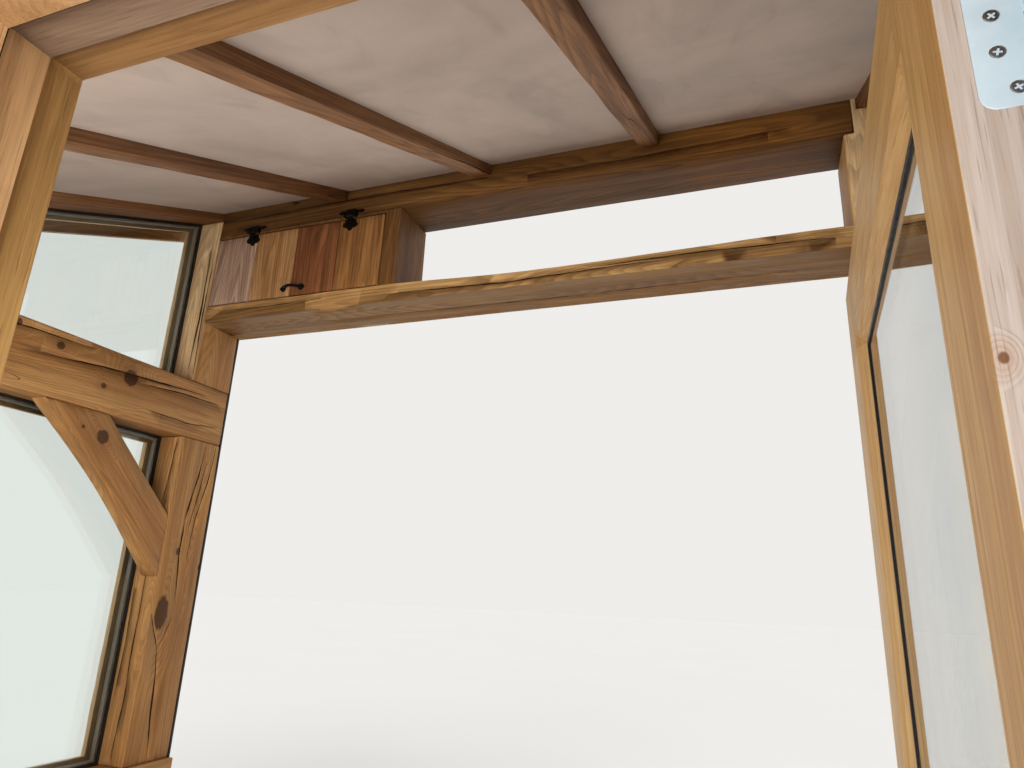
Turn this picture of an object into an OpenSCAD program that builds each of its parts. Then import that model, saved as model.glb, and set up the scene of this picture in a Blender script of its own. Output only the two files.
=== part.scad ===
// Oak-framed lean-to porch on dwarf brick walls, with glazed sides, a glazed
// door that opens inwards, and a cupboard under the wall beam.
// Shapes are drawn with y = 0 on the house wall's face and the porch on the
// -y side, then moved so that the origin is under the middle of the porch.
// x runs along the wall and z = 0 is the ground.

/* [Overall] */
// Clear width between the side posts
inner_width = 2080; // [1600:1:3000]
// Distance from the house wall to the front face of the frame
frame_depth = 1663; // [1200:1:2500]
// Section of the posts and main beams
post_section = 180; // [120:1:250]
// Roof pitch in degrees
roof_pitch = 24.6; // [15:0.5:45]
// Height of the ceiling line where it meets the house wall
ceiling_at_wall = 2888; // [2500:1:3500]

/* [Dwarf walls] */
// Height of the brickwork
dwarf_height = 825; // [300:75:1200]
// Thickness of the brickwork
dwarf_thickness = 215; // [100:1:330]
// Height of the oak sole plate
plate_height = 135; // [60:1:200]
// Projection of the plate inside the posts
plate_nosing = 12; // [0:1:40]
// Projection of the plate beyond the brickwork
plate_drip = 22; // [0:1:60]

/* [Beams] */
// Underside of the side beams
side_beam_bottom = 1962; // [1700:1:2300]
// Top of the side beams
side_beam_top = 2156; // [1900:1:2500]
// Underside of the front beam
front_beam_bottom = 2051; // [1900:1:2400]
// Underside of the beam on the house wall
tie_bottom = 2705; // [2400:1:3200]
// Length of the tie beam's and shelf's tenons in the right stud
housing = 25; // [0:1:60]
// Underside of the shelf beam
shelf_bottom = 2370; // [2200:1:2800]
// Thickness of the shelf beam at its ends
shelf_thickness = 60; // [30:1:150]
// Dip of the waney top edge of the shelf
shelf_dip = 13; // [0:1:50]

/* [Braces] */
// Thickness of a brace
brace_thickness = 60; // [30:1:100]
// Reach of a side brace's curved edge along the beam
brace_reach = 490; // [250:1:700]
// Drop of a side brace's curved edge down the post
brace_drop = 458; // [200:1:700]
// Width of a brace's foot
brace_end = 8; // [4:1:120]
// Reach of the straight back edge, as a share of the curved edge's
brace_back = 0.58; // [0.3:0.01:0.8]
// Rise of the brace's curve above a straight line
brace_bow = 20; // [0:1:100]

/* [Roof] */
// Width of an intermediate rafter
rafter_width = 58; // [40:1:150]
// Depth of a rafter below the plaster, measured upright
rafter_below = 38; // [10:1:120]
// Depth of an end rafter below the plaster, measured upright
end_below = 30; // [10:1:120]
// Length of an end rafter's foot on the side beam
rafter_foot = 80; // [40:1:200]
// Set-back of the right end rafter from the inner face of its stud
rafter_set = 40; // [0:1:80]
// Depth of a rafter above the plaster, measured upright
rafter_above = 80; // [40:1:200]
// Spacing of the intermediate rafters
rafter_spacing = 530; // [300:1:800]
// Thickness of the plaster ceiling, measured upright
plaster = 15; // [8:1:30]
// Thickness of the roof deck, measured upright
deck = 22; // [12:1:50]
// Overhang of the roof past the side frames
verge = 110; // [0:1:300]
// Overhang of the roof past the front beam
eaves = 170; // [0:1:400]
// Gauge of the tile courses along y
tile_gauge = 92; // [60:1:300]
// Thickness of a tile course
tile_thick = 14; // [8:1:40]

/* [Glazing] */
// Distance of the glass behind the inner face of the frame
glass_set = 100; // [20:1:120]
// Thickness of a sealed glass unit
glass_thick = 24; // [4:1:40]
// Width of the black gasket
gasket = 9; // [5:1:30]
// Width of the outside bead
bead = 26; // [10:1:60]

/* [Door] */
// Clear width between the door jambs
door_clear = 817; // [600:1:1200]
// Width of a door jamb
jamb = 96; // [40:1:120]
// Thickness of the door leaf
leaf_thick = 42; // [35:1:60]
// Flat width of the leaf's stiles and top rail
leaf_stile = 104; // [60:1:150]
// Height of the leaf's bottom rail
leaf_bottom = 200; // [80:1:300]
// Width of the bevelled glazing bead on the leaf
leaf_bead = 20; // [10:1:40]
// Depth of the glass behind the leaf's faces
leaf_sink = 12; // [4:1:16]
// Gap round the leaf
leaf_gap = 5; // [2:0.5:8]
// Angle at which the door stands open
door_open = 92.8; // [0:0.1:94]
// Height of the threshold
threshold = 15; // [10:1:60]

/* [Cupboard] */
// Width of the cupboard flap
flap_width = 688; // [300:1:900]
// Number of boards in the flap
flap_boards = 4; // [2:1:8]
// Thickness of the flap boards
flap_thick = 20; // [12:1:35]
// Width of the cupboard's front stile
cup_stile = 62; // [20:1:80]
// Height of the fillet over the flap
fillet = 8; // [8:1:40]

/* [Hidden] */
half_in = inner_width / 2;
half_out = half_in + post_section;
y_front = -frame_depth;
y_inner = y_front + post_section;
y_post = -post_section;
y_foot = y_inner + rafter_foot;
slope = tan(roof_pitch);
plate_top = dwarf_height + plate_height;
post_bottom = plate_top;
brick_out = half_in + dwarf_thickness;
brick_front = y_inner - dwarf_thickness;
deck_low = rafter_above;
deck_high = rafter_above + deck;
roof_y = y_front - eaves;
roof_x = half_out + verge;
fascia_thick = 25;
soffit = 12;
tile_over = 40;
tile_side = 20;
wall_y = (frame_depth + eaves + tile_over) / 2;
stop_depth = 14;
inner_frame_y1 = y_inner - 24;
leaf_y1 = inner_frame_y1 - 40;
leaf_y0 = leaf_y1 - leaf_thick;
frame_y0 = y_front + 8;
stop_y1 = leaf_y0 - 8;
frame_y1 = leaf_y1;
clear_x1 = half_in - jamb;
clear_x0 = clear_x1 - door_clear;
jamb_x0 = clear_x0 - jamb;
head_bottom = front_beam_bottom - 48;
leaf_w = door_clear - 2 * leaf_gap;
leaf_h = head_bottom - threshold - 2 * leaf_gap;
leaf_z0 = threshold + leaf_gap;
pivot_x = clear_x1 - leaf_gap / 2;
pivot_y = leaf_y1 + 6;
knuckle_r = 6;
pin_r = 3.5;
run_fit = 0.08;
hinge_h = 100;
hinge_zs = [leaf_z0 + 200, leaf_z0 + leaf_h / 2, leaf_z0 + leaf_h - 136 - hinge_h];
hinge_inset = 14;
plate_thick = 2.5;
plate_round = 10;
joint_gap = 0.1;
roof_top = ceiling_at_wall + 400;
cup_x0 = -half_in;
cup_x1 = cup_x0 + 5 + flap_width;
cup_x2 = cup_x1 + cup_stile;
flap_top = tie_bottom - fillet;
flap_gap = 5;
flap_bottom = shelf_bottom + shelf_thickness + flap_gap;
flap_y0 = y_post;
flap_hinge_z = tie_bottom - fillet / 2;
flap_hinge_y = flap_y0 - 10.5;
flap_hinges = [cup_x0 + 159, cup_x0 + 563];

function ceil_z(y) = ceiling_at_wall + slope * y;

// Moves a shape from the wall's face to the frame's origin
module at_wall() {
  translate([0, wall_y, 0])
    children();
}

// A box given by its two corners
module span(a, b) {
  translate(a)
    cube([b[0] - a[0], b[1] - a[1], b[2] - a[2]]);
}

// A profile drawn in (y, z) and pulled along x
module along_x(x0, x1, pts) {
  translate([x0, 0, 0])
    rotate([90, 0, 90])
      linear_extrude(x1 - x0)
        polygon(pts);
}

// A profile drawn in (x, z) and pulled along y
module along_y(y0, y1, pts) {
  translate([0, y1, 0])
    rotate([90, 0, 0])
      linear_extrude(y1 - y0)
        polygon(pts);
}

// A strip of the roof between two heights over the ceiling line
function roof_strip(y0, y1, low, high) = [
  [y0, ceil_z(y0) + low],
  [y1, ceil_z(y1) + low],
  [y1, ceil_z(y1) + high],
  [y0, ceil_z(y0) + high]
];

// Dwarf walls and sole plates
module dwarf_wall_side(s) {
  color("firebrick") at_wall()
    if (s < 0)
      span([-brick_out, brick_front, 0], [-half_in, 0, dwarf_height]);
    else
      span([half_in, brick_front, 0], [brick_out, 0, dwarf_height]);
}

module dwarf_wall_left() {
  dwarf_wall_side(-1);
}

module dwarf_wall_right() {
  dwarf_wall_side(1);
}

module dwarf_wall_front() {
  color("firebrick") at_wall()
    span([-half_in, brick_front, 0], [jamb_x0, y_inner, dwarf_height]);
}

// Plate section: u runs outwards from the inner face of the posts
plate_out = dwarf_thickness + plate_drip;

plate_profile = [
  [0, dwarf_height],
  [dwarf_thickness, dwarf_height],
  [plate_out, dwarf_height + 2],
  [plate_out, plate_top - 40],
  [post_section, plate_top],
  [0, plate_top]
];

module plate_side(s) {
  pts = [for (p = plate_profile) [s * (half_in + p[0]), p[1]]];
  edge = [s * (half_in - plate_nosing), s * half_in];
  along_y(brick_front - plate_drip, 0, pts);
  span([min(edge), y_inner, plate_top - 30], [max(edge), 0, plate_top]);
}

module sole_plates() {
  pts = [for (p = plate_profile) [y_inner - p[0], p[1]]];
  color("peru") at_wall() {
    plate_side(-1);
    plate_side(1);
    along_x(-half_in, jamb_x0, pts);
    span([-half_in, y_inner, plate_top - 30], [jamb_x0, y_inner + plate_nosing, plate_top]);
  }
}

// Posts and studs
module post_box(s, y0, y1, z0, z1) {
  color("sienna") at_wall()
    if (s < 0)
      span([-half_out, y0, z0], [-half_in, y1, z1]);
    else
      span([half_in, y0, z0], [half_out, y1, z1]);
}

module wall_post_left() {
  post_box(-1, y_post, 0, post_bottom, side_beam_bottom);
}

module wall_post_right() {
  post_box(1, y_post, 0, post_bottom, side_beam_bottom);
}

module corner_posts() {
  for (s = [-1, 1])
    post_box(s, y_front, y_inner, post_bottom, front_beam_bottom);
}

// A stud's side, up to a height over the ceiling line
function stud_side(high) = [
  [y_post, side_beam_top],
  [0, side_beam_top],
  [0, ceil_z(0) + high - joint_gap],
  [y_post, ceil_z(y_post) + high - joint_gap]
];

module upper_stud_left() {
  along_x(-half_out, -half_in, stud_side(-end_below));
}

// The right stud rises beside its rafter and houses the ends of two beams
module upper_stud_right() {
  difference() {
    union() {
      along_x(half_in, half_out, stud_side(-end_below));
      along_x(half_in, half_in + rafter_set, stud_side(deck_low));
    }
    for (z = [[tie_bottom, roof_top], [shelf_bottom, shelf_bottom + shelf_thickness]])
      span([half_in - 1, y_post - 1, z[0]], [half_in + housing, 1, z[1]]);
  }
}

module upper_studs() {
  color("sienna") at_wall() {
    upper_stud_left();
    upper_stud_right();
  }
}

// Beams
module side_beam_left() {
  post_box(-1, y_inner, 0, side_beam_bottom, side_beam_top);
}

module side_beam_right() {
  post_box(1, y_inner, 0, side_beam_bottom, side_beam_top);
}

module front_beam() {
  color("sienna") at_wall()
    along_x(-half_out, half_out, [
      [y_front, front_beam_bottom],
      [y_inner, front_beam_bottom],
      [y_inner, ceil_z(y_inner) + deck_low - joint_gap],
      [y_front, ceil_z(y_front) + deck_low - joint_gap]
    ]);
}

module tie_beam() {
  color("sienna") at_wall()
    along_x(-half_in, half_in + housing, [
      [y_post, tie_bottom],
      [0, tie_bottom],
      [0, ceil_z(0) + deck_low - joint_gap],
      [y_post, ceil_z(y_post) + deck_low - joint_gap]
    ]);
}

// The shelf's front top edge dips along its length, as the plank grew
module shelf_beam() {
  steps = 12;
  top = shelf_bottom + shelf_thickness;
  color("sienna") at_wall()
    difference() {
      span([-half_in, y_post, shelf_bottom], [half_in + housing, 0, top]);
      translate([0, y_post - 1, 0])
        rotate([-90, 0, 0])
          linear_extrude(30)
            polygon([
              for (i = [0 : steps])
                let (t = i / steps, x = cup_x2 + t * (half_in - cup_x2))
                  [x, -(top - shelf_dip * pow(sin(180 * pow(t, 0.7)), 2))],
              [half_in, -(top + 1)],
              [cup_x2, -(top + 1)]
            ]);
    }
}

// A curved brace in the corner of a post (u = 0) and a beam (v = 0)
module brace_shape(reach, drop) {
  n = 10;
  run = reach - brace_end;
  length = sqrt(run * run + drop * drop);
  polygon(concat(
    [for (i = [0 : n])
      let (t = i / n, bow = brace_bow * sin(180 * t))
        [brace_end + run * t - bow * drop / length, -drop * (1 - t) + bow * run / length]],
    [[reach * brace_back, 0], [0, -drop * brace_back], [0, -drop]]
  ));
}

module side_brace(s, rear) {
  y0 = rear ? y_post : y_inner;
  d = rear ? -1 : 1;
  a = s < 0 ? -half_in - brace_thickness : half_in;
  color("chocolate") at_wall()
    translate([a, y0, side_beam_bottom])
      rotate([90, 0, 90])
        linear_extrude(brace_thickness)
          scale([d, 1])
            brace_shape(brace_reach, brace_drop);
}

module braces_left() {
  side_brace(-1, true);
  side_brace(-1, false);
}

module braces_right() {
  side_brace(1, true);
  side_brace(1, false);
}

module front_brace(x0, d) {
  color("chocolate") at_wall()
    translate([x0, inner_frame_y1, front_beam_bottom])
      rotate([90, 0, 0])
        linear_extrude(brace_thickness)
          scale([d, 1])
            brace_shape(brace_reach * 0.75, brace_drop * 0.75);
}

module braces_front() {
  front_brace(jamb_x0, -1);
  front_brace(-half_in, 1);
}

// Roof
module rafters() {
  color("sienna") at_wall()
    for (i = [-1 : 1])
      along_x(i * rafter_spacing - rafter_width / 2, i * rafter_spacing + rafter_width / 2,
        roof_strip(y_inner, y_post, -rafter_below, rafter_above - joint_gap));
}

module end_rafter(x0, x1) {
  color("sienna") at_wall()
    along_x(x0, x1, [
      [y_inner, side_beam_top],
      [y_foot, side_beam_top],
      [y_foot, ceil_z(y_foot) - end_below],
      [0, ceil_z(0) - end_below],
      [0, ceil_z(0) + deck_low - joint_gap],
      [y_inner, ceil_z(y_inner) + deck_low - joint_gap]
    ]);
}

module end_rafters() {
  end_rafter(-half_out, -half_in);
  end_rafter(half_in + rafter_set, half_out);
}

// The bays between the rafters, each with its two sides
bays = [for (i = [-2 : 1]) [
  i == -2 ? -half_in : i * rafter_spacing + rafter_width / 2,
  i == 1 ? half_in + rafter_set : (i + 1) * rafter_spacing - rafter_width / 2
]];

module ceiling() {
  color("lightgray") at_wall()
    for (b = bays)
      along_x(b[0], b[1], roof_strip(y_inner, y_post, 0, plaster));
}

module insulation() {
  color("khaki") at_wall()
    for (b = bays)
      along_x(b[0], b[1], roof_strip(y_inner, y_post, plaster + joint_gap, rafter_above - joint_gap));
}

// The deck, thickened by soffit boards where it overhangs the frame
module roof_deck() {
  y0 = roof_y + fascia_thick;
  color("burlywood") at_wall()
    difference() {
      along_x(-roof_x + fascia_thick, roof_x - fascia_thick,
        roof_strip(y0, 0, deck_low - soffit, deck_high));
      along_x(-half_out, half_out, roof_strip(y_front, 100, deck_low - 100, deck_low));
    }
}

// Each tile course is a wedge that laps the one below
module roof_tiles() {
  n = floor((tile_over - roof_y) / tile_gauge);
  color("saddlebrown") at_wall()
    along_x(-roof_x - tile_side, roof_x + tile_side, concat(
      [[0, ceil_z(0) + deck_high + joint_gap]],
      [[0, ceil_z(0) + deck_high + 2 * tile_thick]],
      [for (i = [n - 1 : -1 : 0], k = [0, 1])
        let (y = roof_y - tile_over + i * tile_gauge)
          k == 0
            ? [y, ceil_z(y) + deck_high + 2.6 * tile_thick]
            : [y, ceil_z(y) + deck_high + (i == 0 ? joint_gap : 1.4 * tile_thick)]]
    ));
}

module fascia() {
  along_x(-roof_x + fascia_thick, roof_x - fascia_thick, [
      [roof_y, ceil_z(roof_y) + deck_high],
      [roof_y, ceil_z(roof_y) - 60],
      [roof_y + fascia_thick, ceil_z(roof_y) - 60],
      [roof_y + fascia_thick, ceil_z(roof_y + fascia_thick) + deck_high]
    ]);
}

module barge(s) {
  a = s < 0 ? -roof_x : roof_x - fascia_thick;
  along_x(a, a + fascia_thick, roof_strip(roof_y, 0, -70, deck_high));
}

module roof_boards() {
  color("peru") at_wall() {
    fascia();
    barge(-1);
    barge(1);
  }
}

module flashing() {
  t = deck_high + 2.6 * tile_thick + 2;
  color("dimgray") at_wall()
    along_x(-roof_x - tile_side, roof_x + tile_side, [
      [-150, ceil_z(-150) + t],
      [-150, ceil_z(-150) + t + 3],
      [-3, ceil_z(-3) + t + 3],
      [-3, ceil_z(0) + t + 150],
      [0, ceil_z(0) + t + 150],
      [0, ceil_z(0) + t]
    ]);
}

// Glazing. A light is a flat outline in its own plane.
module light_parts(pts, what) {
  if (what == "glass")
    offset(delta = -6)
      polygon(pts);
  if (what == "gasket")
    difference() {
      polygon(pts);
      offset(delta = -gasket)
        polygon(pts);
    }
  if (what == "bead")
    difference() {
      polygon(pts);
      offset(delta = -bead)
        polygon(pts);
    }
}

lower_light = [
  [y_inner, plate_top],
  [y_post, plate_top],
  [y_post, side_beam_bottom],
  [y_inner, side_beam_bottom]
];
upper_light = [
  [y_foot, side_beam_top],
  [y_post, side_beam_top],
  [y_post, ceil_z(y_post) - end_below - joint_gap],
  [y_foot, ceil_z(y_foot) - end_below - joint_gap]
];
front_light = [
  [-half_in, plate_top],
  [jamb_x0, plate_top],
  [jamb_x0, front_beam_bottom],
  [-half_in, front_beam_bottom]
];

// Places a slice of side glazing: u is the distance out from the inner face
module side_slice(s, u0, u1) {
  a = s < 0 ? -half_in - u1 : half_in + u0;
  translate([a, 0, 0])
    rotate([90, 0, 90])
      linear_extrude(u1 - u0)
        children();
}

module front_slice(u0, u1) {
  translate([0, y_inner - u0, 0])
    rotate([90, 0, 0])
      linear_extrude(u1 - u0)
        children();
}

lip = 5;
bead_thick = 26;
front_set = 18;
glass_out = glass_set + glass_thick;

module side_glass(s) {
  color("lightcyan", 0.5) at_wall()
    side_slice(s, glass_set, glass_out) {
      light_parts(lower_light, "glass");
      light_parts(upper_light, "glass");
    }
}

module glass_left() {
  side_glass(-1);
}

module glass_right() {
  side_glass(1);
}

module glass_front() {
  color("lightcyan", 0.5) at_wall()
    front_slice(glass_set + front_set, glass_out + front_set)
      light_parts(front_light, "glass");
}

// The channel of rubber round the edge of one light
module channel_web(pts) {
  difference() {
    polygon(pts);
    light_parts(pts, "glass");
  }
}

module gaskets() {
  color("black") at_wall() {
    for (s = [-1, 1], pts = [lower_light, upper_light]) {
      side_slice(s, glass_set - lip, glass_set)
        light_parts(pts, "gasket");
      side_slice(s, glass_set, glass_out)
        channel_web(pts);
      side_slice(s, glass_out, glass_out + lip)
        light_parts(pts, "gasket");
    }
    front_slice(glass_set + front_set - lip, glass_set + front_set)
      light_parts(front_light, "gasket");
    front_slice(glass_set + front_set, glass_out + front_set)
      channel_web(front_light);
    front_slice(glass_out + front_set, glass_out + front_set + lip)
      light_parts(front_light, "gasket");
  }
}

module beads() {
  u = glass_out + lip;
  color("burlywood") at_wall() {
    for (s = [-1, 1], pts = [lower_light, upper_light])
      side_slice(s, u, u + bead_thick)
        light_parts(pts, "bead");
    front_slice(u + front_set, u + front_set + bead_thick)
      light_parts(front_light, "bead");
  }
}

// Outline of a hinge plate in (y, z), rounded at the corners away from the pin
function hinge_plate(z, r) =
  let (y0 = leaf_y0 + hinge_inset, top = z + hinge_h)
    concat(
      [[leaf_y1, z]],
      [for (a = [0 : 15 : 90]) [y0 + r - r * sin(a), z + r - r * cos(a)]],
      [for (a = [0 : 15 : 90]) [y0 + r - r * cos(a), top - r + r * sin(a)]],
      [[leaf_y1, top]]
    );

// Door frame: a rebated outer part, with a plain inner part behind it
module door_frame() {
  color("burlywood") at_wall()
    difference() {
      union() {
        span([jamb_x0, frame_y0, 0], [clear_x0, frame_y1, front_beam_bottom]);
        span([clear_x1, frame_y0, 0], [half_in, frame_y1, front_beam_bottom]);
        span([clear_x0, frame_y0, head_bottom], [clear_x1, frame_y1, front_beam_bottom]);
        span([clear_x0, frame_y0, 0], [clear_x0 + stop_depth, stop_y1, head_bottom]);
        span([clear_x1 - stop_depth, frame_y0, 0], [clear_x1, stop_y1, head_bottom]);
        span([clear_x0 + stop_depth, frame_y0, head_bottom - stop_depth],
          [clear_x1 - stop_depth, stop_y1, head_bottom]);
      }
      for (z = hinge_zs)
        along_x(clear_x1 - 1, clear_x1 + plate_thick, hinge_plate(z, plate_round - 0.3));
    }
}

module door_inner_frame() {
  set = 6;
  color("sienna") at_wall() {
    span([jamb_x0, frame_y1, 0], [clear_x0 - set, inner_frame_y1, front_beam_bottom]);
    span([clear_x1 + 2 * set, frame_y1, 0], [half_in, inner_frame_y1, front_beam_bottom]);
    span([clear_x0 - set, frame_y1, head_bottom + set],
      [clear_x1 + 2 * set, inner_frame_y1, front_beam_bottom]);
  }
}

module door_seal() {
  w = stop_depth - 4;
  y0 = stop_y1;
  y1 = stop_y1 + 3;
  color("black") at_wall() {
    span([clear_x0, y0, threshold], [clear_x0 + w, y1, head_bottom]);
    span([clear_x1 - w, y0, threshold], [clear_x1, y1, head_bottom]);
    span([clear_x0 + w, y0, head_bottom - w], [clear_x1 - w, y1, head_bottom]);
  }
}

module door_threshold() {
  color("peru") at_wall()
    span([clear_x0 + stop_depth, frame_y0, 0], [clear_x1 - stop_depth, inner_frame_y1, threshold]);
}

// Door leaf. It is drawn shut and turned about the hinge pins.
module swing() {
  translate([pivot_x, pivot_y, 0])
    rotate([0, 0, -door_open])
      translate([-pivot_x, -pivot_y, 0])
        children();
}

leaf_x0 = clear_x0 + leaf_gap;
leaf_x1 = clear_x1 - leaf_gap;
pane_edge = leaf_stile + leaf_bead;
pane_x0 = leaf_x0 + pane_edge;
pane_x1 = leaf_x1 - pane_edge;
pane_z0 = leaf_z0 + leaf_bottom + leaf_bead;
pane_z1 = leaf_z0 + leaf_h - pane_edge;
pane_w = pane_x1 - pane_x0;
pane_h = pane_z1 - pane_z0;
slot_deep = 14;
gasket_thick = 2;
gasket_show = 6;

// A block over the pane, wider by m on every side
module pane_block(m, y0, y1) {
  span([pane_x0 - m, y0, pane_z0 - m], [pane_x1 + m, y1, pane_z1 + m]);
}

// The bevelled pocket in one face: it narrows from the face to the glass
module bevel(y, d) {
  translate([(pane_x0 + pane_x1) / 2, y, (pane_z0 + pane_z1) / 2])
    rotate([d > 0 ? -90 : 90, 0, 0])
      linear_extrude(height = leaf_sink, scale = [
        pane_w / (pane_w + 2 * leaf_bead), pane_h / (pane_h + 2 * leaf_bead)
      ])
        square([pane_w + 2 * leaf_bead, pane_h + 2 * leaf_bead], center = true);
}

// The fine joint line between the flat of the leaf and its bead
module bead_line(y) {
  difference() {
    pane_block(leaf_bead + 3, y - 1.5, y + 1.5);
    pane_block(leaf_bead + 1, y - 2, y + 2);
  }
}

module door_leaf() {
  color("tan") at_wall()
    swing()
      difference() {
        span([leaf_x0, leaf_y0, leaf_z0], [leaf_x1, leaf_y1, leaf_z0 + leaf_h]);
        pane_block(slot_deep, leaf_y0 + leaf_sink, leaf_y1 - leaf_sink);
        bevel(leaf_y0, 1);
        bevel(leaf_y1, -1);
        bead_line(leaf_y0);
        bead_line(leaf_y1);
        for (z = hinge_zs)
          along_x(leaf_x1 - plate_thick, leaf_x1 + 1, hinge_plate(z, plate_round - 0.3));
      }
}

module door_glass() {
  m = slot_deep - 4;
  color("lightcyan", 0.5) at_wall()
    swing()
      pane_block(m, leaf_y0 + leaf_sink + gasket_thick, leaf_y1 - leaf_sink - gasket_thick);
}

module door_gasket() {
  y0 = leaf_y0 + leaf_sink;
  y1 = leaf_y1 - leaf_sink;
  color("black") at_wall()
    swing()
      difference() {
        pane_block(slot_deep, y0, y1);
        pane_block(slot_deep - 4, y0 + gasket_thick, y1 - gasket_thick);
        pane_block(-gasket_show, y0 - 1, y1 + 1);
      }
}

// Butt hinges: each has three knuckles on the frame and two on the leaf
knuckles = 5;
knuckle_h = hinge_h / knuckles;

module knuckle(z, r_in, clear) {
  translate([pivot_x, pivot_y, z + clear])
    difference() {
      cylinder(r = knuckle_r, h = knuckle_h - 2 * clear, $fn = 32);
      translate([0, 0, -1])
        cylinder(r = r_in, h = knuckle_h + 2, $fn = 32);
    }
}

module hinges_frame() {
  color("silver") at_wall()
    for (z = hinge_zs) {
      along_x(clear_x1, clear_x1 + plate_thick, hinge_plate(z, plate_round));
      for (k = [0, 2, 4]) {
        difference() {
          span([clear_x1, frame_y1, z + k * knuckle_h],
            [clear_x1 + plate_thick, pivot_y, z + (k + 1) * knuckle_h]);
          translate([pivot_x, pivot_y, z])
            cylinder(r = knuckle_r - 0.5, h = hinge_h, $fn = 32);
        }
        knuckle(z + k * knuckle_h, pin_r, 0);
      }
      translate([pivot_x, pivot_y, z])
        cylinder(r = pin_r, h = hinge_h, $fn = 32);
    }
}

module door_hinges() {
  color("silver") at_wall()
    swing()
      for (z = hinge_zs) {
        along_x(leaf_x1 - plate_thick, leaf_x1, hinge_plate(z, plate_round));
        for (k = [1, 3]) {
          difference() {
            span([leaf_x1 - plate_thick, leaf_y1, z + k * knuckle_h + 0.3],
              [leaf_x1, pivot_y, z + (k + 1) * knuckle_h - 0.3]);
            translate([pivot_x, pivot_y, z])
              cylinder(r = knuckle_r - 0.5, h = hinge_h, $fn = 32);
          }
          knuckle(z + k * knuckle_h, pin_r + run_fit, 0.3);
        }
      }
}

// Lever handle and rose on each face, with a lock plate on the edge
handle_x = leaf_x0 + leaf_stile / 2;
handle_z = 1070;

module lever(y, d) {
  translate([handle_x, y, handle_z])
    rotate([d > 0 ? -90 : 90, 0, 0]) {
      cylinder(r = 25, h = 8, $fn = 40);
      cylinder(r = 9, h = 46, $fn = 24);
    }
  span([handle_x - 9, min(y + d * 38, y + d * 52), handle_z - 9],
    [handle_x + 115, max(y + d * 38, y + d * 52), handle_z + 9]);
}

module door_handles() {
  color("silver") at_wall()
    swing() {
      lever(leaf_y0, -1);
      lever(leaf_y1, 1);
    }
}

// Cupboard between the wall beam and the shelf
module cupboard_case() {
  top = shelf_bottom + shelf_thickness;
  color("peru") at_wall() {
    span([cup_x1 + 5, y_post, top], [cup_x2, y_post + 24, tie_bottom]);
    span([cup_x2 - 18, y_post + 24, top], [cup_x2, 0, tie_bottom]);
    span([cup_x0, y_post, flap_top], [cup_x1 + 5, y_post + 24, tie_bottom]);
    span([cup_x0, -12, top], [cup_x2 - 18, 0, tie_bottom]);
  }
}

module cupboard_flap() {
  w = flap_width / flap_boards;
  color("chocolate") at_wall() {
    for (i = [0 : flap_boards - 1])
      difference() {
        span([cup_x0 + flap_gap + i * w, flap_y0, flap_bottom],
          [cup_x0 + flap_gap + (i + 1) * w, flap_y0 + flap_thick, flap_top - flap_gap]);
        if (i > 0)
          span([cup_x0 + flap_gap - 1 + i * w, flap_y0 - 1, flap_bottom - 1],
            [cup_x0 + flap_gap + 1 + i * w, flap_y0 + 3, flap_top]);
      }
  }
}

// Black iron hinges: a winged bar on the fillet and a bell-shaped tail on the
// flap. Each half outline is (distance from the middle, height over the pin).
half_wing = [[16, 27], [25, 21], [34, 23], [44, 22], [51, 17], [44, 12], [34, 11], [24, 12], [18, 4]];
half_tail = [[20, -13], [21, -20], [28, -29], [27, -36], [19, -41], [9, -43], [6, -50], [2, -52]];
lug_out = 24;
lug_in = 16;

module iron_plate(half, thick) {
  rotate([90, 0, 0])
    linear_extrude(thick)
      polygon(concat(half, [for (i = [len(half) - 1 : -1 : 0]) [-half[i][0], half[i][1]]]));
}

module flap_hinge_bars() {
  color("black") at_wall()
    for (x = flap_hinges) {
      translate([x, flap_y0, flap_hinge_z])
        iron_plate(half_wing, 4);
      for (d = [-1, 1])
        translate([x + d * (lug_in + lug_out) / 2, flap_y0, flap_hinge_z])
          span([(lug_in - lug_out) / 2, flap_hinge_y - flap_y0 - 4, -4], [(lug_out - lug_in) / 2, 0, 12]);
      translate([x - lug_out, flap_hinge_y, flap_hinge_z])
        rotate([0, 90, 0])
          cylinder(r = 3, h = 2 * lug_out, $fn = 24);
    }
}

module flap_hinge_tails() {
  color("black") at_wall()
    for (x = flap_hinges) {
      difference() {
        union() {
          translate([x - 15, flap_hinge_y, flap_hinge_z])
            rotate([0, 90, 0])
              cylinder(r = 5.5, h = 30, $fn = 24);
          translate([x, flap_y0, flap_hinge_z])
            iron_plate(half_tail, 4);
          span([x - 10, flap_hinge_y - 1, flap_hinge_z - 24], [x + 10, flap_y0, flap_hinge_z - 14]);
          span([x - 10, flap_hinge_y - 1, flap_hinge_z - 16], [x + 10, flap_hinge_y + 2, flap_hinge_z]);
        }
        translate([x - 20, flap_hinge_y, flap_hinge_z])
          rotate([0, 90, 0])
            cylinder(r = 3 + run_fit, h = 40, $fn = 24);
      }
    }
}

// Bow pull: two spade-shaped plates joined by an arched grip
half_spade = [[6, 26], [11, 30], [12, 36], [9, 42], [1, 50]];
bow_out = 24;

module flap_pull() {
  n = 8;
  color("black") at_wall()
    translate([cup_x0 + 359, flap_y0, flap_bottom + 27]) {
      for (d = [-1, 1])
        rotate([0, d * 90, 0])
          iron_plate(half_spade, 3);
      translate([0, 0, -4])
        linear_extrude(8)
          polygon(concat(
            [for (i = [0 : n]) [-37 + 74 * i / n, -2 - bow_out * sin(180 * i / n)]],
            [for (i = [n : -1 : 0]) [-30 + 60 * i / n, -2 - (bow_out - 8) * sin(180 * i / n)]]
          ));
    }
}

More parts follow.
